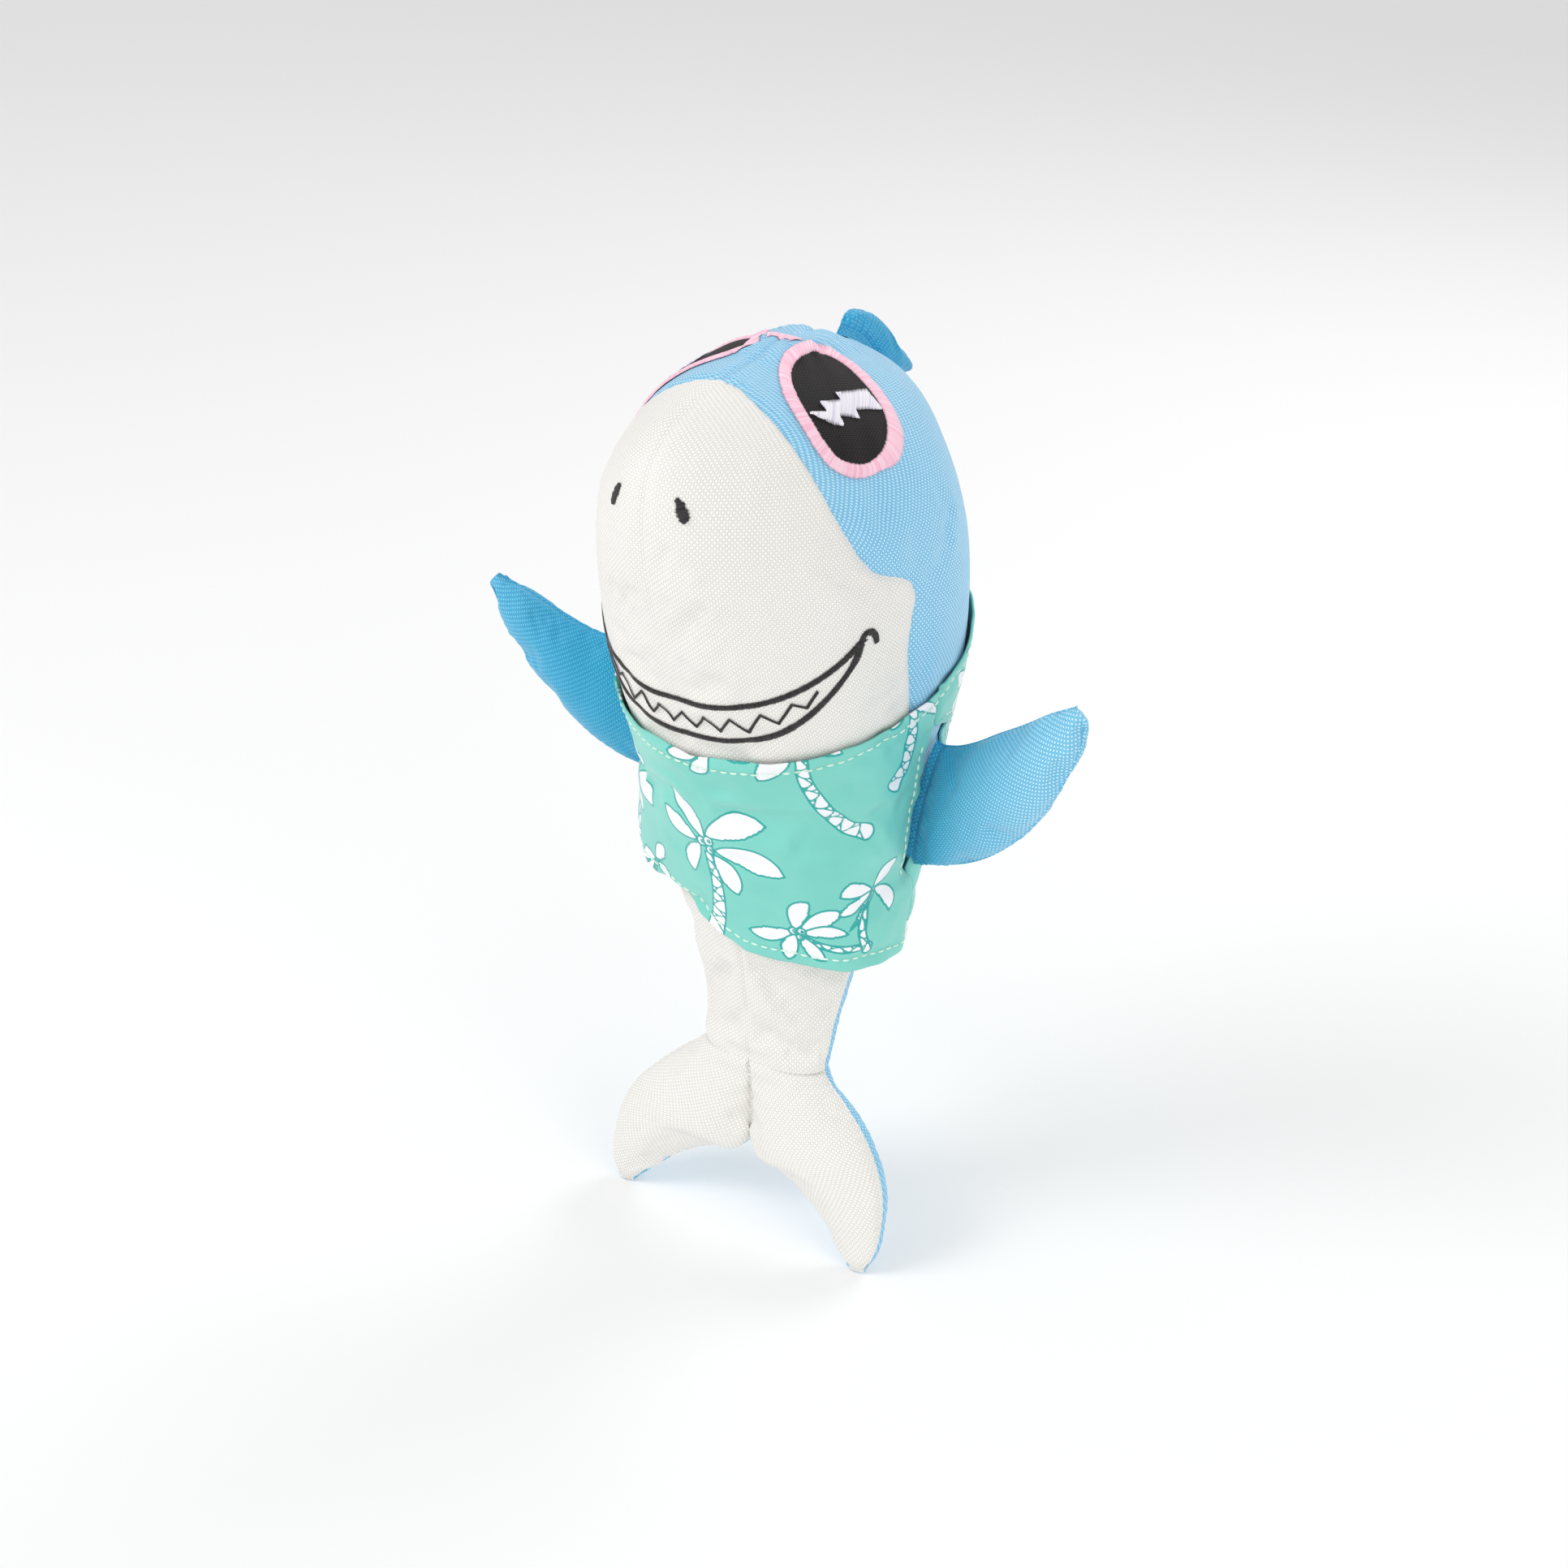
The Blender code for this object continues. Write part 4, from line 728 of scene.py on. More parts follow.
def lengths(grid):
    across = np.concatenate([np.zeros((len(grid), 1)), np.cumsum(np.linalg.norm(np.diff(grid, axis=1), axis=2), 1)], 1)
    across = across - across[:, across.shape[1] // 2][:, None]
    mid = grid[:, grid.shape[1] // 2]
    down = np.concatenate([[0], np.cumsum(np.linalg.norm(np.diff(mid, axis=0), axis=1))])
    return np.stack([across, np.repeat(down[:, None], grid.shape[1], 1)], -1)


def grid_normals(grid):
    a = np.gradient(grid, axis=0)
    b = np.gradient(grid, axis=1)
    n = np.cross(b, a)
    return unit(n)


def face_piece(name, grid, toward, seams, seed, colour, nodes, seam_pitch=3.2, reach=5.0, big=0.2):
    """One cloth face of a cushion, with its seam relief; toward is a direction that it faces."""
    n = grid_normals(grid)
    rows, cols = grid.shape[:2]
    flip = (n[rows // 2, cols // 2] * toward).sum() < 0
    n = -n if flip else n
    rise = seams.relief(grid, seed, reach, seam_pitch) + big * lumps(grid, seed + 5, 13.0)
    side = np.minimum(np.arange(cols), np.arange(cols)[::-1])[None, :] / 3.0
    side = np.clip(np.minimum(side, np.arange(rows)[::-1][:, None] / 3.0), 0, 1)
    pts = grid + n * (rise * side)[..., None]
    obj = make(name, pts.reshape(-1, 3), grid_faces(rows, cols, not flip), colour, lengths(grid).reshape(-1, 2))
    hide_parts(*nodes)
    return obj, pts


def cushion_grid(fin, face, rows, cols, depth=0.0):
    grid = np.zeros((rows, cols, 3))
    lower, upper = fin["lower"], fin["upper"]
    keys = np.linspace(0, 1, len(lower))
    for i, w in enumerate(np.linspace(0, 1, rows)):
        a = np.array([np.interp(w, keys, lower[:, k]) for k in (0, 1)])
        b = np.array([np.interp(w, keys, upper[:, k]) for k in (0, 1)])
        thick = max(float(line_at(fin["thick"], w)[0]) - depth, 0.3)
        for j, v in enumerate(-np.cos(np.linspace(0, math.pi, cols))):
            p = (a + b) / 2 + (b - a) / 2 * (1 - 2 * depth / max(np.linalg.norm(b - a), 1)) * v
            p[0] *= fin["reach"]
            f = min(max(p[0] / 25.0, 0), 1)
            turn = math.radians(fin["lift"]) * f * f * (3 - 2 * f)
            q = np.array([p[0] * math.cos(turn) - p[1] * math.sin(turn), p[0] * math.sin(turn) + p[1] * math.cos(turn)])
            q[0] -= fin["sag"](p[1]) * (1 - w) ** 2
            h = thick * math.sqrt(max(1 - v * v, 0.0))
            grid[i, j] = fin["at"] + fin["u"] * q[0] + fin["v"] * q[1] + fin["n"] * face * h
    return grid


def closed_blob(name, loops, colour, node, body, seed=1):
    """Closed lump of fibre filling through loops of points."""
    loops = np.array(loops)
    loops = loops + 0.25 * lumps(loops, seed, 8.0)[..., None] * unit(loops - loops.mean(1, keepdims=True))
    rows, cols = loops.shape[:2]
    verts = np.concatenate([loops.reshape(-1, 3), [loops[0].mean(0), loops[-1].mean(0)]])
    faces = grid_faces(rows, cols, wrap=True)
    n = rows * cols
    for j in range(cols):
        k = (j + 1) % cols
        faces.append((k, j, n))
        faces.append(((rows - 1) * cols + j, (rows - 1) * cols + k, n + 1))
    v = verts
    vol = sum(np.dot(v[f[0]], np.cross(v[f[1]], v[f[2]])) for f in faces)
    if vol < 0:
        faces = [f[::-1] for f in faces]
    obj = make(name, verts, faces, colour)
    if node:
        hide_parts(node)
        if body:
            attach(obj, body)
    return obj


ROOT_TUCK = 2.6                 # how far a fin's cloth runs on into the body's seam


def fin_set(fin, side, words, nodes, body, seed, toward, rows=22, cols=15, pull=0.035, rest=0.75):
    front = mirror(cushion_grid(fin, 1, rows, cols), side)
    back = mirror(cushion_grid(fin, -1, rows, cols), side)
    front, back = pillow(front, back, rest, seed, pull)
    inward = mirror(fin["u"] * ROOT_TUCK, side)
    front, back = (np.concatenate([(g[0] - inward)[None], g]) for g in (front, back))
    front, back = fine_grid(front, 3), fine_grid(back, 3)
    rim = [front[:, 0], front[:, -1], front[-1]]
    seams = Seams([(line, 0.5, 0.30) for line in rim] + [(front[8], 0.6, 0.35)])
    for word, grid, node_name, way in ((words[0], front, nodes[0], toward), (words[1], back, nodes[1], -toward)):
        obj, _ = face_piece(word, grid, way, seams, seed + 20, "fin", (node_name,))
        reach_mm = (grid - mirror(fin["at"], side)) @ mirror(fin["u"], side)
        # Painted shade weight: on the left and dorsal fins it fades out by about 42 mm from the root; on the right fin
        # it stays high over the whole face.
        painted_shade = np.clip(1.25 - reach_mm / 34.0, 0, 1) if side > 0 else np.clip(1.3 - reach_mm / 90.0, 0, 1)
        float_layer(obj, "painted_shade", painted_shade)
        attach(obj, body)
    inside = dict(fin, reach=fin["reach"] * 0.93)
    a = mirror(cushion_grid(inside, 1, 12, 11, 2.8), side)
    b = mirror(cushion_grid(inside, -1, 12, 11, 2.8), side)
    closed_blob(words[2], [np.concatenate([a[i], b[i][::-1]]) for i in range(11)], "fill", nodes[2], body)


for side, word in ((1, "left"), (-1, "right")):
    at = (FIN_ROOT_TOP + FIN_ROOT_LOW) / 2
    along = unit(FIN_ROOT_TOP - FIN_ROOT_LOW)
    out = FIN_TIP_AIM - at
    out = unit(out - along * np.dot(out, along))
    n = np.cross(along, out)
    n = -n if n[1] > 0 else n
    fin = {"at": at, "u": out, "v": along, "n": n, "lift": FIN_LIFT[side], "reach": FIN_REACH[side],
           "lower": smooth_path(FIN_LOWER, 60), "upper": smooth_path(FIN_UPPER, 60), "thick": FIN_THICK,
           "sag": lambda v: 0.0}
    fin_set(fin, side, (f"fin_front_{word}", f"fin_back_{word}", f"fin_fill_{word}"),
            (f"{word}_fin_front", f"{word}_fin_back", f"{word}_fin_stuffing"), f"{word}_fin",
            30 + side, np.array([0.0, -1.0, 0.0]))

base = surface(np.linspace(DORSAL_LOW, DORSAL_TOP, 21), 180.0)
along = unit(base[-1] - base[0])
out = unit(np.cross(np.array([1.0, 0, 0]), along))
out = out if out[1] > 0 else -out
rel = (base - base.mean(0)) @ np.stack([out, along], 1)
high = rel[:, 0].max()
sag_keys, sag_vals = rel[:, 1], high - rel[:, 0]
fin = {"at": base.mean(0) + out * (high + DORSAL_OFF), "u": out, "v": along, "n": np.array([1.0, 0, 0]),
       "lift": 0.0, "reach": 1.0, "lower": smooth_path(DORSAL_TRAIL, 60), "upper": smooth_path(DORSAL_LEAD, 60),
       "thick": DORSAL_THICK, "sag": lambda v: float(np.interp(v, sag_keys, sag_vals))}
fin_set(fin, 1, ("dorsal_left", "dorsal_right", "dorsal_fill"),
        ("dorsal_fin_left", "dorsal_fin_right", "dorsal_fin_stuffing"), "dorsal_fin", 40,
        np.array([1.0, 0, 0]), 16, 13, 0.02, 0.85)


# ----------------------------------------------------------------- flukes
def fluke_grid(side, face, rows, cols, depth=0.0):
    outer_, inner_ = smooth_path(FLUKE_OUTER, 80), smooth_path(FLUKE_INNER, 80)
    keys = np.linspace(0, 1, 80)
    grid = np.zeros((rows, cols, 3))
    for i, w in enumerate(np.linspace(0, 1, rows)):
        a = np.array([np.interp(w, keys, inner_[:, k]) for k in (0, 1)])
        b = np.array([np.interp(w, keys, outer_[:, k]) for k in (0, 1)])
        thick = max(float(line_at(FLUKE_THICK, w)[0]) - depth, 0.4)
        join = max(0.0, 1 - w / 0.42)
        for j, v in enumerate(-np.cos(np.linspace(0, math.pi, cols))):
            p = (a + b) / 2 + (b - a) / 2 * v
            p = p + (depth * 0.7) * np.array([-v, 0])
            split = math.sqrt(max(1 - v * v, 0.0))
            across = math.sqrt(max(1 - (abs(p[0]) / max(b[0], 1)) ** 2, 0.0))
            puff = join * across + (1 - join) * split
            f = np.clip((p[1] - 46) / 16, 0, 1)
            y = -FLUKE_LEAN * (59.5 - p[1]) - 0.98 * f * f * (3 - 2 * f)
            grid[i, j] = (side * p[0], y + face * thick * puff, p[1])
    return grid


def tuck(grid):
    """Extra first row, turned in under the stem."""
    row = grid[0] * np.array([0.95, 0.93, 1]) + np.array([0, 0, 1.3])
    return np.concatenate([row[None], grid])


for side, word in ((1, "left"), (-1, "right")):
    front = fluke_grid(side, -1, 26, 15)
    back = fluke_grid(side, 1, 26, 15)
    keep_front, keep_back = front.copy(), back.copy()
    front, back = pillow(front, back, 0.6, 60 + side, 0.05, 1.2, 3.0)
    hold = np.clip(np.arange(26) / 6.0, 0, 1)[:, None, None]
    front, back = keep_front + (front - keep_front) * hold, keep_back + (back - keep_back) * hold
    joined = np.abs(keep_front[..., 0:1]) < 0.3
    front = np.where(joined & (keep_front[..., 2:3] > 30), np.concatenate([keep_front[..., :1], front[..., 1:]], -1), front)
    back = np.where(joined & (keep_back[..., 2:3] > 30), np.concatenate([keep_back[..., :1], back[..., 1:]], -1), back)
    front, back = fine_grid(tuck(front), 3), fine_grid(tuck(back), 3)
    lines = [(front[:, -1], 0.45, 0.30), (front[-1], 0.4, 0.2)]
    centre = front[:, 0]
    lines.append((centre, np.interp(centre[:, 2], [0, 27, 31, 62], [0.4, 0.5, 0.6, 0.7]), 0.1))
    lines.append((front[8], 0.3, 0.05))
    front_seams = Seams(lines)
    centre = back[:, 0]
    back_seams = Seams([(back[:, -1], 0.45, 0.3), (back[-1], 0.4, 0.2), (centre, 0.8, 0.2), (back[8], 0.3, 0.05)])
    for grid, seams, where, way, colour in ((front, front_seams, "front", -1, "cream"), (back, back_seams, "back", 1, "blue")):
        obj, _ = face_piece(f"fluke_{where}_cover_{word}", grid, np.array([0, way, 0.0]), seams, 70, colour,
                            (f"fluke_{where}_{word}",))
        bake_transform(obj)


# --------------------------------------------------- fibre filling, squeaker
TURN = np.linspace(0, 360, 36, endpoint=False)
torso_rows = np.linspace(3.45, 13.2, 24)
fill = closed_blob("body_fill", [body_point(s, TURN, 3.0) for s in torso_rows], "fill", "body_stuffing", "torso", 8)
tail_rows = np.linspace(0.25, 3.2, 9)
tail_fill = closed_blob("tail_fill", [body_point(s, TURN, 2.8) for s in tail_rows], "fill", "tail_stuffing", None, 9)
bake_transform(tail_fill)
fluke_fill = []
for side, word in ((1, "left"), (-1, "right")):
    a, b = fluke_grid(side, -1, 12, 9, 2.2), fluke_grid(side, 1, 12, 9, 2.2)
    a[..., 2], b[..., 2] = np.minimum(a[..., 2], 60.5), np.minimum(b[..., 2], 60.5)
    loops = [np.concatenate([a[i], b[i][::-1]]) for i in range(1, 12)]
    fluke_fill.append(closed_blob(f"fluke_fill_{word}", loops, "fill", "fluke_stuffing", "flukes", 10))

bpy.ops.mesh.primitive_cylinder_add(vertices=32, radius=0.0176, depth=0.06, rotation=(math.pi / 2, 0, 0),
                                    location=tuple((np.array([0, 44.0, 172.0]) + BASE) * MM))
pocket = bpy.context.object
cut = fill.modifiers.new("pocket", "BOOLEAN")
cut.operation, cut.solver, cut.object = "DIFFERENCE", "EXACT", pocket
bpy.context.view_layer.update()
fill.data = bpy.data.meshes.new_from_object(fill.evaluated_get(bpy.context.evaluated_depsgraph_get()))
fill.modifiers.clear()
bpy.data.objects.remove(pocket, do_unlink=True)
for name in ("squeaker_bulb", "squeaker_reed"):
    NODES[name].data.materials.clear()
    NODES[name].data.materials.append(M["plastic"])


# ------------------------------------------------------------------- shirt
def shirt_off(z, deg):
    f = np.clip((188.0 - z) / 80.0, 0, 1)
    f = f * f * (3 - 2 * f)
    return 0.9 + f * (3.6 + 3.2 * np.sin(np.radians(deg)) ** 2)


def neck_z(deg):
    return curve_at([(0, 185.5), (25, 187.2), (40, 188.9), (55, 192.2), (71, 196.0), (84, 199.3), (92, 202.3),
                     (100, 207.0), (115, 216.0), (140, 221.0), (180, 222.5)], abs(deg))[..., 0]


def shirt_surface(rows, cols, back):
    """Dense grid of the outside of one shirt piece, with its flat coordinates and distance to the edges."""
    h = np.linspace(0, 1, rows)
    split = np.stack([np.interp(h, [r[0] for r in SHIRT_SPLIT], [r[k] for r in SHIRT_SPLIT]) for k in (1, 2)], -1)
    kernel = np.hanning(9) / np.hanning(9).sum()
    split = np.stack([np.convolve(np.pad(split[:, k], 4, mode="edge"), kernel, "valid") for k in (0, 1)], -1)
    span = np.linspace(-1, 1, cols)[None, :]
    deg = 180 + span * (180 - split[:, 1:2]) if back else span * split[:, 0:1]
    near = np.where(deg > 180, 360 - deg, deg)
    hem = SHIRT_HEM_Z - 4.0 * np.sin(np.radians(np.clip(near, 90, 180) - 90)) if back else SHIRT_HEM_Z + 0 * deg
    right = np.where(deg > 180, deg - 360, deg)
    f = np.clip((-right - 22.0) / 58.0, 0, 1) * np.clip((180 + right) / 50.0, 0, 1)
    f = f * f * (3 - 2 * f)
    hem = hem + curve_at(HEM_RISE, right)[..., 0]
    H = h[:, None]
    z = hem + H * (neck_z(near) - hem)
    s = station_at(z, deg)
    n = normal(s, deg)
    base = body_point(s, deg)
    arm = np.clip((H - 0.20) / 0.08, 0, 1) * np.clip((0.9 - H) / 0.08, 0, 1)
    edge_deg = (split[:, 0:1] - np.abs(deg)) if not back else (180 - split[:, 1:2] - np.abs(deg - 180))
    hug = 1 - 0.72 * arm * np.exp(-np.clip(edge_deg, 0, 90) / 12.0)
    left = np.clip((right - 35.0) / 35.0, 0, 1) * np.clip((150.0 - right) / 40.0, 0, 1)
    flare = 3.0 * f * np.clip((160 - z) / 40.0, 0, 1) + 3.4 * left * np.clip((142 - z) / 26.0, 0, 1)
    off = shirt_off(z, deg) * hug + flare + 0.75
    g = base + n * off[..., None]
    du = np.concatenate([np.zeros((rows, 1)), np.cumsum(np.linalg.norm(np.diff(g, axis=1), axis=2), 1)], 1)
    dv = np.concatenate([np.zeros((1, cols)), np.cumsum(np.linalg.norm(np.diff(g, axis=0), axis=2), 0)], 0)
    to_side = np.minimum(du, du[:, -1:] - du)
    to_hem, to_neck = dv, dv[-1:] - dv
    sewn = np.clip((0.25 - H) / 0.03, 0, 1) + np.clip((H - 0.84) / 0.05, 0, 1)
    to_edge = np.minimum(np.minimum(to_hem, to_neck), to_side + 8.0 * sewn)
    u = du - du[:, cols // 2][:, None]
    # waves at the hem and armholes, soft drag folds, and the turned-in edge
    wave = 0.9 * wobble(u, 17 + back, 13.0) * np.exp(-to_hem / 16.0)
    wave += 0.45 * np.sin(u / 2.6 + 2 * wobble(u, 19, 20.0)) * np.exp(-to_hem / 4.5) * wobble(u, 21, 15.0)
    wave += arm * 0.55 * np.sin(dv / 1.7 + 2 * wobble(dv, 23, 12.0)) * np.exp(-to_side / 5.0) * (0.4 + 0.6 * wobble(dv, 25, 9.0))
    wave += 0.35 * np.sin(u / 1.9 + 1.5 * wobble(u, 27, 12.0)) * np.exp(-to_neck / 3.5) * (0.3 + 0.5 * wobble(u, 28, 11.0))
    drag = lumps(np.stack([u * 0.5 + z * 0.5, u * 0.12 - z * 0.1, 0 * u], -1), 31 + back, 16.0)
    wave += 0.55 * drag * np.clip((196 - z) / 30.0, 0, 1)
    side_pull = np.exp(-((H - 0.26) / 0.05) ** 2) * np.exp(-to_side / 10.0)
    wave += side_pull * 1.1 * np.sin(dv / 2.3 + du / 6.0)
    fold = 0.45 * np.clip(1 - to_edge / 5.2, 0, 1) ** 0.35 - 0.35 * np.exp(-((to_edge - 4.2) / 0.45) ** 2)
    fold -= 0.35 * np.clip(1 - to_edge / 0.8, 0, 1)
    seam_dip = -0.8 * np.exp(-(to_side / 1.0) ** 2) * sewn
    room = off - 0.75
    rise = np.maximum(wave, -0.75 * room) + fold + seam_dip
    g = g + n * rise[..., None]
    return g, n, u, z, dict(hem=to_hem, neck=to_neck, side=to_side, edge=to_edge, sewn=sewn)


def frond(base, tip, up, low, notches=5):
    """Leaf outline from base to tip; up and low are how far its two edges bow out."""
    base, tip = np.array(base, float), np.array(tip, float)
    d = tip - base
    n = unit(np.array([-d[1], d[0]]))
    t = np.linspace(0, 1, 12)
    bow = np.sin(np.pi * t) ** 0.7 * (0.85 + 0.45 * t)
    upper = base + d * t[:, None] + n * (up * bow)[:, None]
    t2 = np.linspace(1, 0, 26)[1:-1]
    bow2 = np.sin(np.pi * t2) ** 0.7 * (0.85 + 0.45 * t2)
    saw = np.where(t2 > 0.35, ((t2 * notches * 2.2) % 1.0) * 0.55, 0.0)
    lower = base + d * t2[:, None] - n * ((low * bow2) - saw)[:, None]
    return np.concatenate([upper, lower])


def ring(centre, radius, count=14):
    a = np.linspace(0, 2 * math.pi, count, endpoint=False)
    return np.array(centre) + radius * np.stack([np.cos(a), np.sin(a)], -1)


def trunk(points, w0, w1, step=3.0):
    """Trunk outline and the scale marks across it."""
    path = smooth_path(points, 24)
    d = unit(np.gradient(path, axis=0))
    n = np.stack([-d[:, 1], d[:, 0]], -1)
    w = np.linspace(w0, w1, 24)[:, None] / 2
    turn = np.linspace(0, np.pi, 9)[1:-1, None]
    cap = path[-1] + (n[-1] * np.cos(turn) + d[-1] * np.sin(turn) * 0.8) * w[-1]
    outline = np.concatenate([path + n * w, cap, (path - n * w)[::-1]])
    marks = []
    run = np.linalg.norm(np.diff(path, axis=0), axis=1).sum()
    count = max(2, int(run / step))
    for k in range(1, count):
        f = k / count * 23
        i = int(f)
        p, q, m, ww = path[i], d[i], n[i], w[i]
        sway = 1 if k % 2 else -1
        t = np.linspace(-1, 1, 9)
        marks.append(p + m * ww * t[:, None] + q * (0.9 * (1 - t ** 2) + 0.7 * sway * t)[:, None])
        marks.append(p + q * 0.9 + (m * ww * 0.9 * sway + q * step * 0.7) * np.linspace(0, 1, 5)[:, None])
    return outline, marks


PALMS = {
    "tall": {"trunk": ([(0.7, -2.7), (2.5, -12.7), (1.7, -22.5), (-1.3, -32.5)], 2.2, 6.6),
             "fronds": [((0, 1.5), (-12.4, 15.6), 0.8, 5.6), ((-2.8, 0.5), (-15.2, 9.0), 4.0, 2.2),
                        ((-1.8, -0.5), (-6.0, -11.8), 0.8, 5.0), ((0.5, 2.6), (21.6, 10.2), 6.2, 1.8),
                        ((3.5, -1.5), (25.5, -6.1), 5.6, 2.4), ((3.0, -3.3), (9.8, -16.1), 4.2, 2.6)],
             "nuts": [(-1.0, 0.6, 1.7), (1.6, 1.2, 1.8), (1.9, -1.9, 1.5)]},
    "swept": {"trunk": ([(1, -1.2), (7, -3.6), (14, -4.4), (22, -3.4)], 1.6, 2.8),
              "fronds": [((-1, 0.8), (4.5, 11.5), 4.2, 1.6), ((0.5, 0.6), (14.5, 8.5), 3.2, 1.8),
                         ((1.2, 0), (15.5, 1.0), 2.8, 1.2), ((-1.2, 0), (-15.5, -2.4), 3.4, 1.4),
                         ((-0.8, -1), (-3.6, -10.5), 1.8, 3.2), ((0.6, -1), (8, -8.5), 1.4, 3.0)],
              "nuts": [(-1.4, 0.2, 1.4), (1.2, 0.5, 1.4), (0.6, -1.6, 1.2)]},
    "small": {"trunk": ([(0, -1), (-3.1, -5.4), (-5.6, -11.8), (-4.2, -20.5)], 1.5, 3.0),
              "fronds": [((-0.5, 0), (-11.5, -1.0), 0.7, 4.0), ((-0.8, -0.4), (-12.5, -7.4), 1.6, 1.8),
                         ((0, 0.5), (10.5, 7.5), 2.8, 2.8), ((0.8, -0.6), (5.3, -9.1), 4.6, 0.5),
                         ((-0.4, -1), (-9.6, -12.4), 0.5, 0.7)],
              "nuts": []},
    "long": {"trunk": ([(0.3, -2.5), (0.1, -14.5), (3.7, -24.5), (8.5, -31.5), (16.0, -35.5)], 3.4, 5.8),
             "fronds": [((-1, 0), (-13.7, -13.6), 2.8, 3.8), ((1, 0), (12.2, -3.4), 5.2, 1.8),
                        ((0, 0.8), (-15, 3), -4.2, 1.4), ((0.5, 0.8), (14, 5), 4.0, 1.2),
                        ((0, 1), (-5, 14), -2.4, 2.2)],
             "nuts": [(-1.2, 0.2, 1.6), (1.2, 0.3, 1.6)]},
    "leaning": {"trunk": ([(0.5, -1), (-1.0, -10), (-4.5, -18), (-11.5, -26)], 3.0, 5.4),
                "fronds": [((-0.5, 0), (-9.5, -4.5), 1.0, 2.6), ((0.5, 0), (10.5, -6.5), 3.2, 1.0),
                           ((0, 1), (-8, 8), 1.0, 2.4), ((0, 1), (8, 8), 2.2, 1.0)],
                "nuts": []},
}
FRONT_PRINT = [("tall", -2.7, 151.4, 1.0, 0), ("long", 33.5, 194.5, 1.0, 0), ("swept", 24.5, 125.5, 1.0, 0),
               ("small", 50.0, 140.0, 1.0, 0), ("long", -42.0, 191.0, 0.62, 8), ("leaning", 72.0, 200.0, 1.0, 0),
               ("swept", 5.0, 188.5, 0.85, 165), ("tall", -47.0, 160.0, 0.8, 0), ("small", -33.0, 133.0, 0.9, 10)]
BACK_PRINT = [("tall", -8.0, 196.0, 1.0, 0), ("swept", 34.0, 168.0, 1.0, 0), ("small", -40.0, 170.0, 1.1, 0),
              ("long", 20.0, 152.0, 0.9, 0), ("swept", -22.0, 142.0, 1.0, 10), ("small", 8.0, 130.0, 1.0, 0),
              ("tall", -58.0, 198.0, 0.9, 10), ("small", 58.0, 196.0, 1.2, 0), ("swept", -46.0, 122.0, 0.8, 0),
              ("small", 46.0, 136.0, 0.9, 0), ("swept", 30.0, 212.0, 0.9, 0)]


def print_fields(u, z, palms):
    """Signed distance to the white shapes and distance to the ink lines, in millimetres."""
    flat = np.stack([u.ravel(), z.ravel()], -1)
    white, ink = np.full(len(flat), 6.0), np.full(len(flat), 6.0)

    def segments(a, b, pts):
        ab = b - a
        t = np.clip(((pts[:, None] - a) * ab).sum(-1) / np.maximum((ab ** 2).sum(-1), 1e-9), 0, 1)
        return np.linalg.norm(a + ab * t[..., None] - pts[:, None], axis=-1).min(1)

    def stamp(outline):
        lo, hi = outline.min(0) - 3, outline.max(0) + 3
        idx = np.nonzero(((flat > lo) & (flat < hi)).all(1))[0]
        if not len(idx):
            return
        pts, a, b = flat[idx], outline, np.roll(outline, -1, 0)
        dist = segments(a, b, pts)
        rise = (a[:, 1] > pts[:, None, 1]) != (b[:, 1] > pts[:, None, 1])
        gap = np.where(np.abs(b[:, 1] - a[:, 1]) < 1e-9, 1e-9, b[:, 1] - a[:, 1])
        cross = pts[:, None, 0] < (b[:, 0] - a[:, 0]) * (pts[:, None, 1] - a[:, 1]) / gap + a[:, 0]
        inside = (rise & cross).sum(1) % 2 == 1
        white[idx] = np.minimum(white[idx], np.where(inside, -dist, dist))
        ink[idx] = np.where(inside, dist, np.minimum(ink[idx], dist))

    def draw(path):
        lo, hi = path.min(0) - 2, path.max(0) + 2
        idx = np.nonzero(((flat > lo) & (flat < hi)).all(1))[0]
        if len(idx):
            ink[idx] = np.minimum(ink[idx], segments(path[:-1], path[1:], flat[idx]) + 0.05)

    for kind, pu, pz, size, turn in palms:
        c, s = math.cos(math.radians(turn)), math.sin(math.radians(turn))
        m = size * np.array([[c, s], [-s, c]])
        at = np.array([pu, pz])
        spec = PALMS[kind]
        outline, marks = trunk(*spec["trunk"])
        stamp(outline @ m + at)
        for path in marks:
            draw(path @ m + at)
        for base_, tip_, up_, low_ in spec["fronds"]:
            stamp(frond(base_, tip_, up_, low_) @ m + at)
        for x, y, r in spec["nuts"]:
            stamp(ring((x, y), r) @ m + at)
            draw(ring((x + 0.3, y), r * 0.3, 7) @ m + at)
    return white.reshape(u.shape), ink.reshape(u.shape)


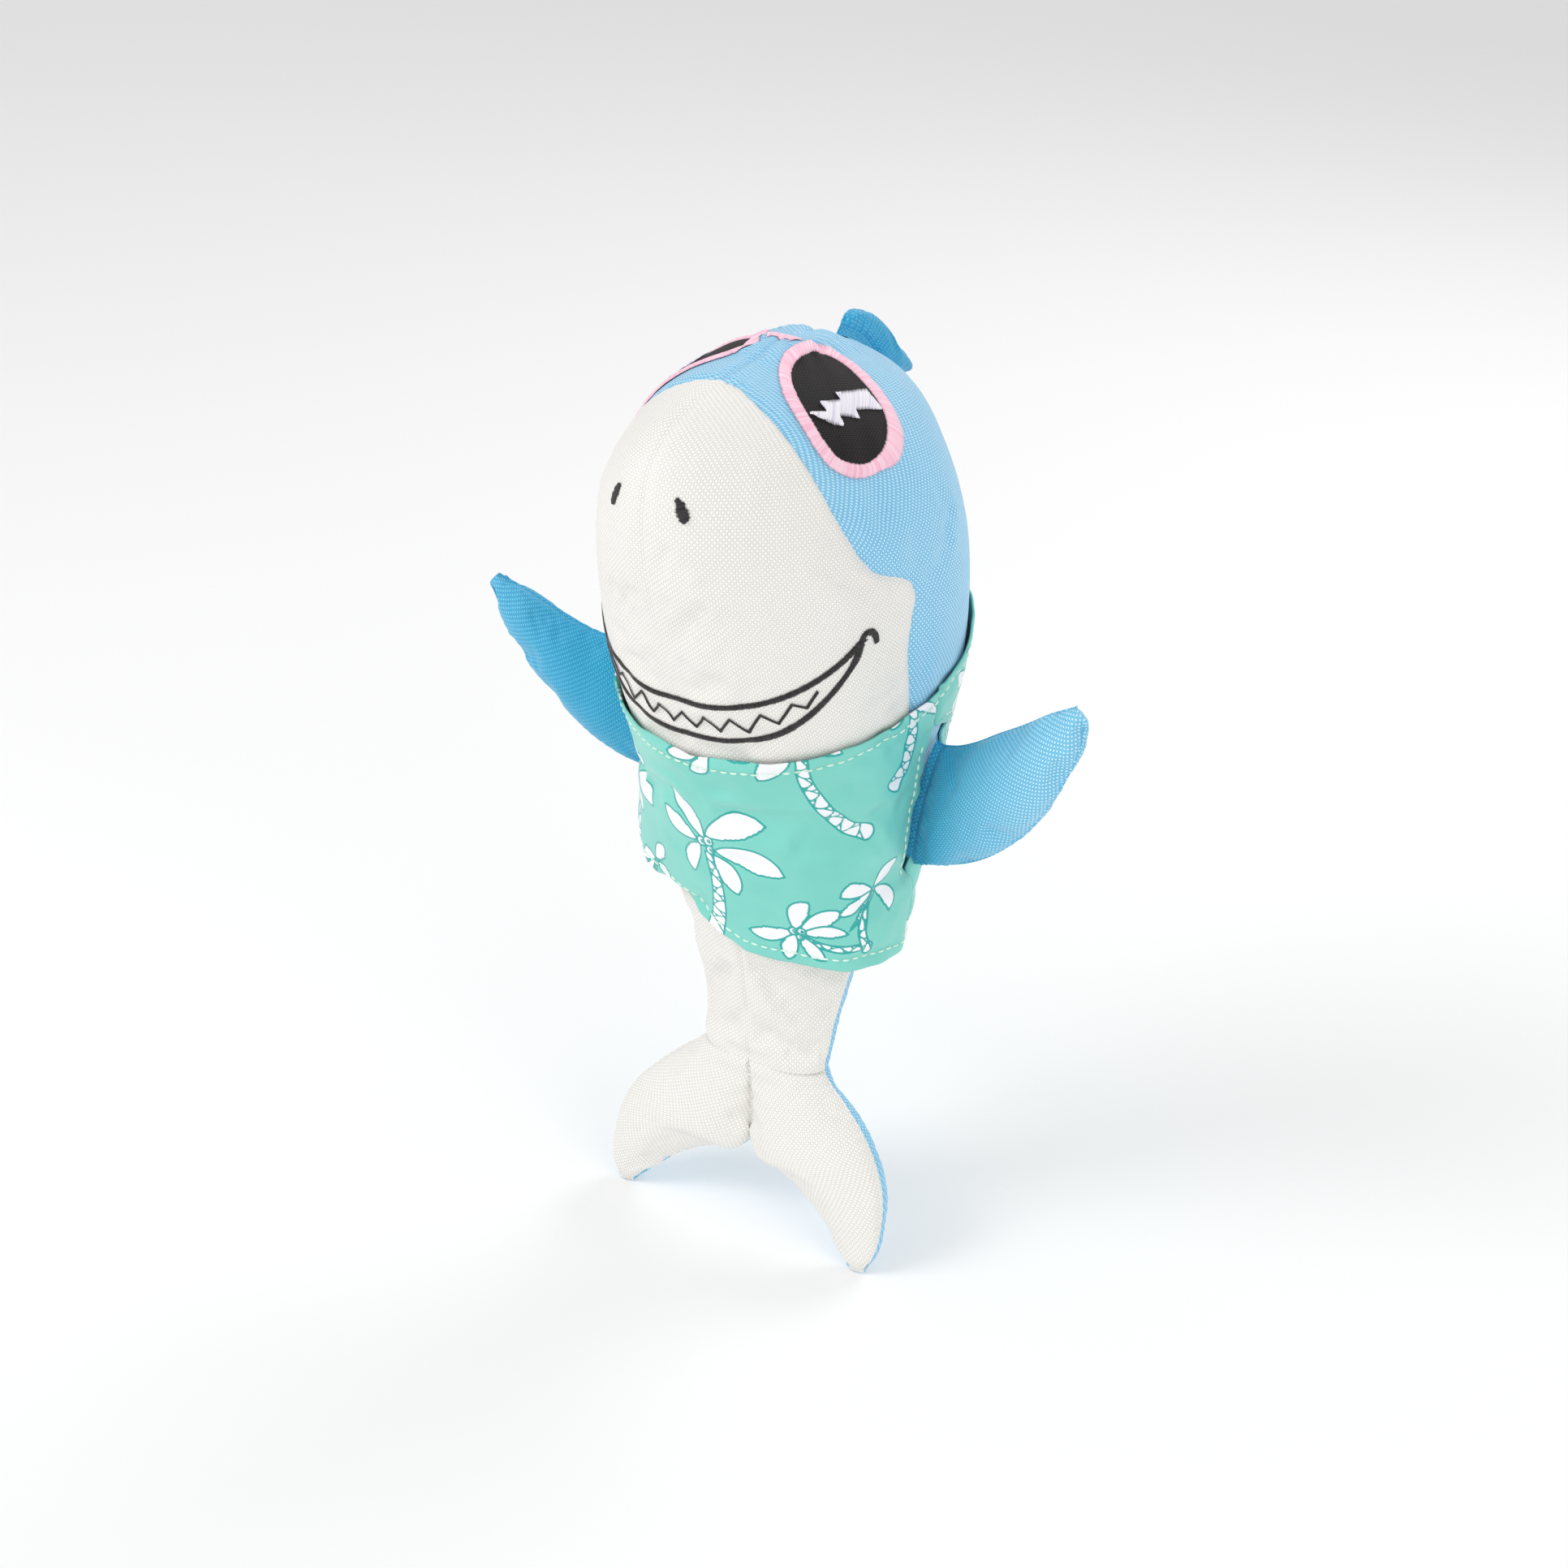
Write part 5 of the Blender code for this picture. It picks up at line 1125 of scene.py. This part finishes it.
def shirt_material():
    mat, t, shader = new_material("shirt_print", 0.4, 0.15, 0.45)
    leaf = node(t, "ShaderNodeAttribute", (-900, 300), attribute_name="leaf")
    ink = node(t, "ShaderNodeAttribute", (-900, 0), attribute_name="ink")
    geo = node(t, "ShaderNodeTexCoord", (-900, -300))
    fine = node(t, "ShaderNodeTexNoise", (-700, -300))
    fine.inputs["Scale"].default_value = 60.0
    t.links.new(geo.outputs["Object"], fine.inputs["Vector"])
    in_leaf = math_node(t, "MULTIPLY", math_node(t, "SUBTRACT", 0.06, leaf.outputs["Fac"]), 9.0, clamp=True)
    in_ink = math_node(t, "MULTIPLY", math_node(t, "SUBTRACT", 0.42, ink.outputs["Fac"]), 6.0, clamp=True)
    ground = ramp_between(t, fine.outputs[0], srgb("#72CDC0"), srgb("#88DCCF"))
    first = node(t, "ShaderNodeMix", (200, 200), data_type="RGBA")
    t.links.new(in_leaf, first.inputs[0])
    t.links.new(ground, first.inputs[6])
    first.inputs[7].default_value = srgb("#F8F9FC")
    second = node(t, "ShaderNodeMix", (400, 200), data_type="RGBA")
    t.links.new(in_ink, second.inputs[0])
    t.links.new(first.outputs[2], second.inputs[6])
    second.inputs[7].default_value = srgb("#1FA9A3")
    t.links.new(second.outputs[2], shader.inputs["Base Color"])
    uv = node(t, "ShaderNodeUVMap", (-900, -600), uv_map="cloth")
    split = node(t, "ShaderNodeSeparateXYZ", (-700, -600))
    t.links.new(uv.outputs[0], split.inputs[0])
    twill = math_node(t, "SINE", math_node(t, "MULTIPLY", math_node(t, "ADD", split.outputs[0], split.outputs[1]), 18.0))
    cross = math_node(t, "SINE", math_node(t, "MULTIPLY", split.outputs[1], 24.0))
    rise = math_node(t, "ADD", twill, math_node(t, "MULTIPLY", cross, 0.5))
    b = node(t, "ShaderNodeBump", (300, -300))
    b.inputs["Strength"].default_value = 0.25
    b.inputs["Distance"].default_value = 0.00003
    t.links.new(rise, b.inputs["Height"])
    t.links.new(b.outputs[0], shader.inputs["Normal"])
    t.links.new(math_node(t, "ADD", math_node(t, "MULTIPLY", twill, 0.03), 0.40), shader.inputs["Roughness"])
    return mat


M["shirt"] = shirt_material()


def capsule(points, radius, normals, flat=0.55, sides=5):
    """Half-round stitch along points; its ends dive into the cloth."""
    pts, n = np.asarray(points, float), np.asarray(normals, float)
    d = unit(np.gradient(pts, axis=0))
    side_ = unit(np.cross(d, n))
    t = np.linspace(-1, 1, len(pts))
    swell = np.sqrt(np.clip(1 - np.abs(t) ** 3, 0.02, 1))
    a = np.linspace(0, math.pi, sides)
    ringp = (side_[:, None] * np.cos(a)[None, :, None] + n[:, None] * (np.sin(a) * flat * 2 - 0.25)[None, :, None])
    verts = pts[:, None] + ringp * (radius * swell)[:, None, None]
    return verts.reshape(-1, 3), grid_faces(len(pts), sides)


def stitched(name, stitches, mats, node_names, body):
    verts, faces, tones = [], [], []
    base_i = 0
    for v, f in stitches:
        verts.append(v)
        tones.append(np.full(len(v), rng.random()))
        faces += [tuple(i + base_i for i in q) for q in f]
        base_i += len(v)
    obj = make(name, np.concatenate(verts), faces, mats)
    float_layer(obj, "tone", np.concatenate(tones))
    if node_names:
        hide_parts(*node_names)
    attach(obj, body)
    return obj


def along_stitches(line, normals, length=2.3, gap=0.8, radius=0.34):
    run = np.concatenate([[0], np.cumsum(np.linalg.norm(np.diff(line, axis=0), axis=1))])
    out_ = []
    at_ = 0.4
    while at_ + length < run[-1]:
        want = np.linspace(at_, at_ + length, 7)
        p = np.stack([np.interp(want, run, line[:, k]) for k in range(3)], -1)
        m = unit(np.stack([np.interp(want, run, normals[:, k]) for k in range(3)], -1))
        p = p + m * (0.12 + 0.18 * np.sin(np.linspace(0, math.pi, 7)))[:, None]
        wander = 0.12 * rng.uniform(-1, 1)
        p = p + np.cross(m, unit(p[-1] - p[0])) * wander
        out_.append(capsule(p, radius, m))
        at_ += length + gap * rng.uniform(0.8, 1.3)
    return out_


def shirt_piece(name, back, rows, cols, palms, node_name):
    g, n, u, z, d = shirt_surface(rows, cols, back)
    n2 = grid_normals(g)
    flip = (n2[rows // 2, cols // 2] * n[rows // 2, cols // 2]).sum() < 0
    n2 = -n2 if flip else n2
    inner = g - n2 * 0.6
    verts = np.concatenate([g.reshape(-1, 3), inner.reshape(-1, 3)])
    k = rows * cols
    faces = grid_faces(rows, cols, not flip)
    faces += [tuple(i + k for i in q[::-1]) for q in faces]
    rim = list(range(cols)) + [i * cols + cols - 1 for i in range(1, rows)]
    rim += [(rows - 1) * cols + j for j in range(cols - 2, -1, -1)] + [i * cols for i in range(rows - 2, 0, -1)]
    for a, b in zip(rim, rim[1:] + rim[:1]):
        faces.append((b, a, a + k, b + k) if flip else (a, b, b + k, a + k))
    uv = np.stack([u, z], -1).reshape(-1, 2)
    obj = make(name, verts, faces, "shirt", np.concatenate([uv, uv]))
    white, ink = print_fields(u, z, palms)
    float_layer(obj, "leaf", np.concatenate([white.ravel(), white.ravel()]))
    float_layer(obj, "ink", np.concatenate([ink.ravel(), ink.ravel()]))
    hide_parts(node_name)
    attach(obj, "torso")
    lines = []
    dv, dn = d["hem"], d["neck"]
    rows_i = np.arange(rows, dtype=float)
    cols_i = np.arange(cols)
    side_room = d["side"] > 4.0

    def at_row(target, table):
        r = np.array([np.interp(target, table[:, j] if table[-1, j] > table[0, j] else table[::-1, j],
                                rows_i if table[-1, j] > table[0, j] else rows_i[::-1]) for j in cols_i])
        i = np.clip(r.astype(int), 0, rows - 2)
        f = (r - i)[:, None]
        return (g[i, cols_i] * (1 - f) + g[i + 1, cols_i] * f, n2[i, cols_i])

    lines.append(at_row(4.2, dv))
    lines.append(at_row(4.2, dn))
    low, top = int(rows * 0.27), int(rows * 0.84)
    for sgn in (1, -1):
        line, nn = [], []
        for i in range(low, top):
            row_run = d["side"][i, :cols // 2]
            c = np.interp(4.2, row_run, np.arange(cols // 2))
            j, f = int(c), c - int(c)
            if sgn < 0:
                a, b = cols - 1 - j, cols - 2 - j
            else:
                a, b = j, j + 1
            line.append(g[i, a] * (1 - f) + g[i, b] * f)
            nn.append(n2[i, a])
        lines.append((np.array(line), np.array(nn)))
    stitches = []
    for line, nn in lines:
        stitches += along_stitches(line, nn)
    seam = stitched(name + "_stitching", stitches, "stitch", (), "torso")
    quad = np.linalg.norm(np.cross(g[1:, :-1] - g[:-1, :-1], g[:-1, 1:] - g[:-1, :-1]), axis=-1).sum()
    print(name, "area mm2 %.0f" % quad, "width %.0f height %.0f" % (u.max() - u.min(), dv.max()))
    return obj


shirt_piece("shirt_front_piece", False, 160, 300, FRONT_PRINT, "shirt_front")
shirt_piece("shirt_back_piece", True, 190, 280, BACK_PRINT, "shirt_back")


# -------------------------------------------------------------- embroidery
def triangles(obj):
    mesh = obj.data
    v = np.empty(len(mesh.vertices) * 3)
    mesh.vertices.foreach_get("co", v)
    faces = [tuple(p.vertices) for p in mesh.polygons]
    return v.reshape(-1, 3) / MM - BASE, faces


all_v, all_f, count = [], [], 0
for obj in body_panels:
    v, f = triangles(obj)
    all_v.append(v)
    all_f += [tuple(i + count for i in q) for q in f]
    count += len(v)
HEAD = BVHTree.FromPolygons([tuple(v) for v in np.concatenate(all_v)], all_f)


def drape(points, lift, lay):
    origin, ax, bx, toward = lay
    out_, nn = [], []
    way = Vector(tuple(toward))
    for a, b in points:
        hit, nrm, _, _ = HEAD.ray_cast(Vector(tuple(origin + ax * a + bx * b - toward * 120)), way)
        nrm = -nrm if nrm.dot(way) > 0 else nrm
        out_.append(np.array(hit))
        nn.append(np.array(nrm))
    out_, nn = np.array(out_), np.array(nn)
    return out_ + nn * np.asarray(lift, float).reshape(-1, 1), nn


FRONT_LAY = (np.zeros(3), np.array([1.0, 0, 0]), np.array([0, 0, 1.0]), np.array([0, 1.0, 0]))
CROWN_LAY = (np.array([0, -15.0, 290.0]), np.array([1.0, 0, 0]), np.array([0, 1.0, 0]), np.array([0, 0, -1.0]))


def lens_lay(side):
    n = unit(LENS_N)
    ax = unit(np.cross([0, 0, 1.0], n))
    bx = np.cross(n, ax)
    return tuple(mirror(v, side) for v in (LENS_C, ax, bx, -n))


def thread(a, b, lay, radius=0.24, lift=0.22, arch=0.25, points=6):
    """One satin stitch from a to b (flat coordinates of the lay)."""
    t = np.linspace(0, 1, points)[:, None]
    p, n = drape(np.array(a) * (1 - t) + np.array(b) * t, lift + arch * np.sin(np.pi * t[:, 0]), lay)
    n = np.repeat(unit(n.mean(0, keepdims=True)), points, 0)
    return capsule(p, radius, n)


def satin_line(path, width, lay, pitch=0.34, lean=0.25):
    path = np.asarray(path, float)
    run = np.concatenate([[0], np.cumsum(np.linalg.norm(np.diff(path, axis=0), axis=1))])
    want = np.arange(0, run[-1] + pitch, pitch)
    p = np.stack([np.interp(want, run, path[:, k]) for k in (0, 1)], -1)
    d = unit(np.gradient(p, axis=0))
    side_ = np.stack([-d[:, 1], d[:, 0]], -1)
    width = np.interp(want, [0, run[-1]], [width, width]) if np.isscalar(width) else np.interp(want, run, width)
    out_ = []
    for k in range(len(want)):
        w = width[k] / 2 * (1 + 0.10 * rng.uniform(-1, 1))
        out_.append(thread(p[k] + side_[k] * w + d[k] * lean, p[k] - side_[k] * w - d[k] * lean, lay))
    return out_


def fill_stitches(outline, angle, lay, pitch=0.36, ragged=0.25, lift=0.22, radius=0.26):
    """Satin stitches side by side across a closed outline."""
    c, s = math.cos(math.radians(angle)), math.sin(math.radians(angle))
    turn = np.array([[c, -s], [s, c]])
    pts = np.array(outline, float) @ turn
    out_ = []
    for y in np.arange(pts[:, 1].min() + pitch / 2, pts[:, 1].max(), pitch):
        xs = []
        for a, b in zip(pts, np.roll(pts, -1, 0)):
            if (a[1] > y) != (b[1] > y):
                xs.append(a[0] + (b[0] - a[0]) * (y - a[1]) / (b[1] - a[1]))
        xs.sort()
        for x0, x1 in zip(xs[::2], xs[1::2]):
            if x1 - x0 < 0.3:
                continue
            x0 -= ragged * rng.uniform(0, 1)
            x1 += ragged * rng.uniform(0, 1)
            a, b = np.array([x0, y]) @ turn.T, np.array([x1, y]) @ turn.T
            out_.append(thread(a, b, lay, radius, lift, 0.2, max(5, int((x1 - x0) / 1.5))))
    return out_


def cloth_patch(name, outline, lay, lift, spacing, mat, node_name):
    ring_ = even(np.concatenate([outline, outline[:1]]), int(len(outline) * 4))[:-1]
    lo, hi = ring_.min(0), ring_.max(0)
    xs, ys = np.meshgrid(np.arange(lo[0], hi[0], spacing), np.arange(lo[1], hi[1], spacing))
    grid = np.stack([xs.ravel(), ys.ravel()], -1)
    a, b = ring_, np.roll(ring_, -1, 0)
    rise = (a[:, 1] > grid[:, None, 1]) != (b[:, 1] > grid[:, None, 1])
    cross = grid[:, None, 0] < (b[:, 0] - a[:, 0]) * (grid[:, None, 1] - a[:, 1]) / (b[:, 1] - a[:, 1] + 1e-9) + a[:, 0]
    inside = (rise & cross).sum(1) % 2 == 1
    near = np.linalg.norm(grid[:, None] - ring_[None], axis=-1).min(1)
    pts = np.concatenate([ring_, grid[inside & (near > spacing * 0.6)]])
    v, _, f, _, _, _ = delaunay_2d_cdt([Vector(tuple(p)) for p in pts], [], [list(range(len(ring_)))], 1, 1e-5)
    flat = np.array([tuple(p) for p in v])
    top, _ = drape(flat, lift, lay)
    low_, _ = drape(ring_, 0.02, lay)
    n = len(flat)
    faces = [tuple(t) for t in f]
    idx = {}
    tree = KDTree(n)
    for i, p in enumerate(flat):
        tree.insert((p[0], p[1], 0), i)
    tree.balance()
    rim = [tree.find((p[0], p[1], 0))[1] for p in ring_]
    for k in range(len(rim)):
        m = (k + 1) % len(rim)
        faces.append((rim[m], rim[k], n + k, n + m))
    obj = make(name, np.concatenate([top, low_]), faces, mat, np.concatenate([flat, ring_]))
    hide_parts(node_name)
    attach(obj, "torso")
    return obj


def both_sides(points):
    return points + [(-x, z) for x, z in reversed(points[:-1])]


for side, word in ((1, "left"), (-1, "right")):
    lay = lens_lay(side)
    inner_line = smooth_path(LENS_IN + LENS_IN[:1], 290)[:-1]
    outer_line = smooth_path(LENS_OUT + LENS_OUT[:1], 290)[:-1]
    fat = smooth_path(LENS_IN + LENS_IN[:1], 61)[:-1]
    fat = fat + unit(fat - fat.mean(0)) * 0.7
    cloth_patch(f"lens_patch_{word}", fat if side > 0 else fat, lay, 0.28, 1.1, "lens", f"lens_{word}")
    frame_st = []
    for a, b in zip(inner_line, outer_line):
        jig = 0.25 * rng.uniform(-1, 1)
        d = unit(b - a)
        frame_st.append(thread(a - d * (0.3 + jig * 0.5), b + d * (0.15 - jig * 0.5), lay, 0.30, 0.30, 0.42, 7))
    stitched(f"frame_stitches_{word}", frame_st, "pink", (f"glasses_frame_{word}",), "torso")
    stitched(f"glare_stitches_{word}", fill_stitches(GLARE, 62, lay, 0.36, 0.35, 0.62, 0.27), "white",
             (f"glare_{word}",), "torso")
    nostril = [(7.9, 273.2), (9.3, 272.6), (11.2, 270.2), (12.6, 267.0), (12.7, 264.6), (11.6, 263.6),
               (10.3, 264.2), (9.4, 266.5), (8.4, 269.6)]
    nostril = [((10.7 + (x - 10.3) * 0.78) * side, 268.0 + (z - 268.2) * 0.70) for x, z in nostril]
    stitched(f"nostril_stitches_{word}", fill_stitches(nostril, 20 * side, FRONT_LAY, 0.34, 0.5), "black",
             (f"nostril_{word}",), "torso")
    spot, out_n = surface(7.95, 64.0 * side), normal(7.95, 64.0 * side)
    flat_x = unit(np.cross([0, 0, 1.0], out_n))
    corner_lay = (spot, flat_x, np.cross(out_n, flat_x), -out_n)
    rel = surface(np.array([p[0] for p in TICK]), side * np.array([p[1] for p in TICK])) - spot
    tick = smooth_path(np.stack([rel @ corner_lay[1], rel @ corner_lay[2]], -1), 20)
    stitched(f"mouth_tick_{word}", satin_line(tick, 2.3, corner_lay), "black", (f"mouth_corner_{word}",), "torso")

bridge = smooth_path([(-4.6, -1.0), (-2.3, 0), (0, 0.4), (2.3, 0), (4.6, -1.0)], 30)
stitched("bridge_stitches", satin_line(bridge, 5.0, CROWN_LAY, 0.4, 0.0), "pink", ("glasses_bridge",), "torso")
up = smooth_path(both_sides(MOUTH_UP), 300)
low = smooth_path(both_sides(MOUTH_LOW), 300)
stitched("mouth_upper_stitches", satin_line(up, np.interp(np.abs(up[:, 0]), [34, 43], [2.0, 1.3]), FRONT_LAY), "black", ("mouth_upper_line",), "torso")
stitched("mouth_lower_stitches", satin_line(low, np.interp(np.abs(low[:, 0]), [30, 42], [2.0, 1.1]), FRONT_LAY), "black", ("mouth_lower_line",), "torso")
zig = both_sides(TEETH)
teeth = []
for a, b in zip(zig, zig[1:]):
    teeth += satin_line(even([a, b], 12), 0.75, FRONT_LAY, 0.42, 0.4)
stitched("teeth_stitches", teeth, "black", ("teeth_line",), "torso")


# ----------------------------------------------------- floor, light, camera
def backdrop():
    mat, t, shader = new_material("white_sweep", 0.9)
    shader.inputs["Base Color"].default_value = (0.95, 0.95, 0.95, 1)
    noise = node(t, "ShaderNodeTexNoise", (-500, 0))
    noise.inputs["Scale"].default_value = 8.0
    t.links.new(ramp_between(t, noise.outputs[0], (0.93, 0.93, 0.93, 1), (0.96, 0.96, 0.96, 1)), shader.inputs["Base Color"])
    mesh = bpy.data.meshes.new("floor")
    mesh.from_pydata([(-4, -4, 0), (4, -4, 0), (4, 4, 0), (-4, 4, 0)], [], [(0, 1, 2, 3)])
    mesh.materials.append(mat)
    obj = bpy.data.objects.new("floor", mesh)
    bpy.context.scene.collection.objects.link(obj)


backdrop()
world = bpy.data.worlds.new("studio")
bpy.context.scene.world = world
world.use_nodes = True
world.node_tree.nodes["Background"].inputs[0].default_value = (1, 1, 1, 1)
world.node_tree.nodes["Background"].inputs[1].default_value = 0.72
bpy.context.scene.view_settings.view_transform = "Standard"


def lamp(name, at, size, power):
    data = bpy.data.lights.new(name, "AREA")
    data.size, data.energy = size, power
    obj = bpy.data.objects.new(name, data)
    obj.location = at
    obj.rotation_euler = (Vector((0, 0.0, 0.15)) - Vector(at)).to_track_quat("-Z", "Y").to_euler()
    bpy.context.scene.collection.objects.link(obj)


lamp("key", (-0.75, -1.1, 1.15), 0.7, 9.0)
lamp("fill", (1.3, -0.7, 0.7), 0.9, 4.0)
lamp("rim", (0.2, 1.2, 1.1), 0.7, 5.0)

a, e, roll = math.radians(31), math.radians(25), math.radians(3.5)
back_v = Vector((math.sin(a) * math.cos(e), -math.cos(a) * math.cos(e), math.sin(e)))
right_v = Vector((math.cos(a), math.sin(a), 0))
up_v = back_v.cross(right_v)
R = right_v * math.cos(roll) + up_v * math.sin(roll)
U = up_v * math.cos(roll) - right_v * math.sin(roll)
cam = bpy.data.cameras.new("camera")
cam.lens, cam.sensor_width, cam.clip_start = 69.0, 36.0, 0.01
camera = bpy.data.objects.new("camera", cam)
place = Vector((0, 0.0137, 0.1538)) + back_v * 0.92
camera.matrix_world = Matrix(((R.x, U.x, back_v.x, place.x), (R.y, U.y, back_v.y, place.y),
                              (R.z, U.z, back_v.z, place.z), (0, 0, 0, 1)))
bpy.context.scene.collection.objects.link(camera)
bpy.context.scene.camera = camera
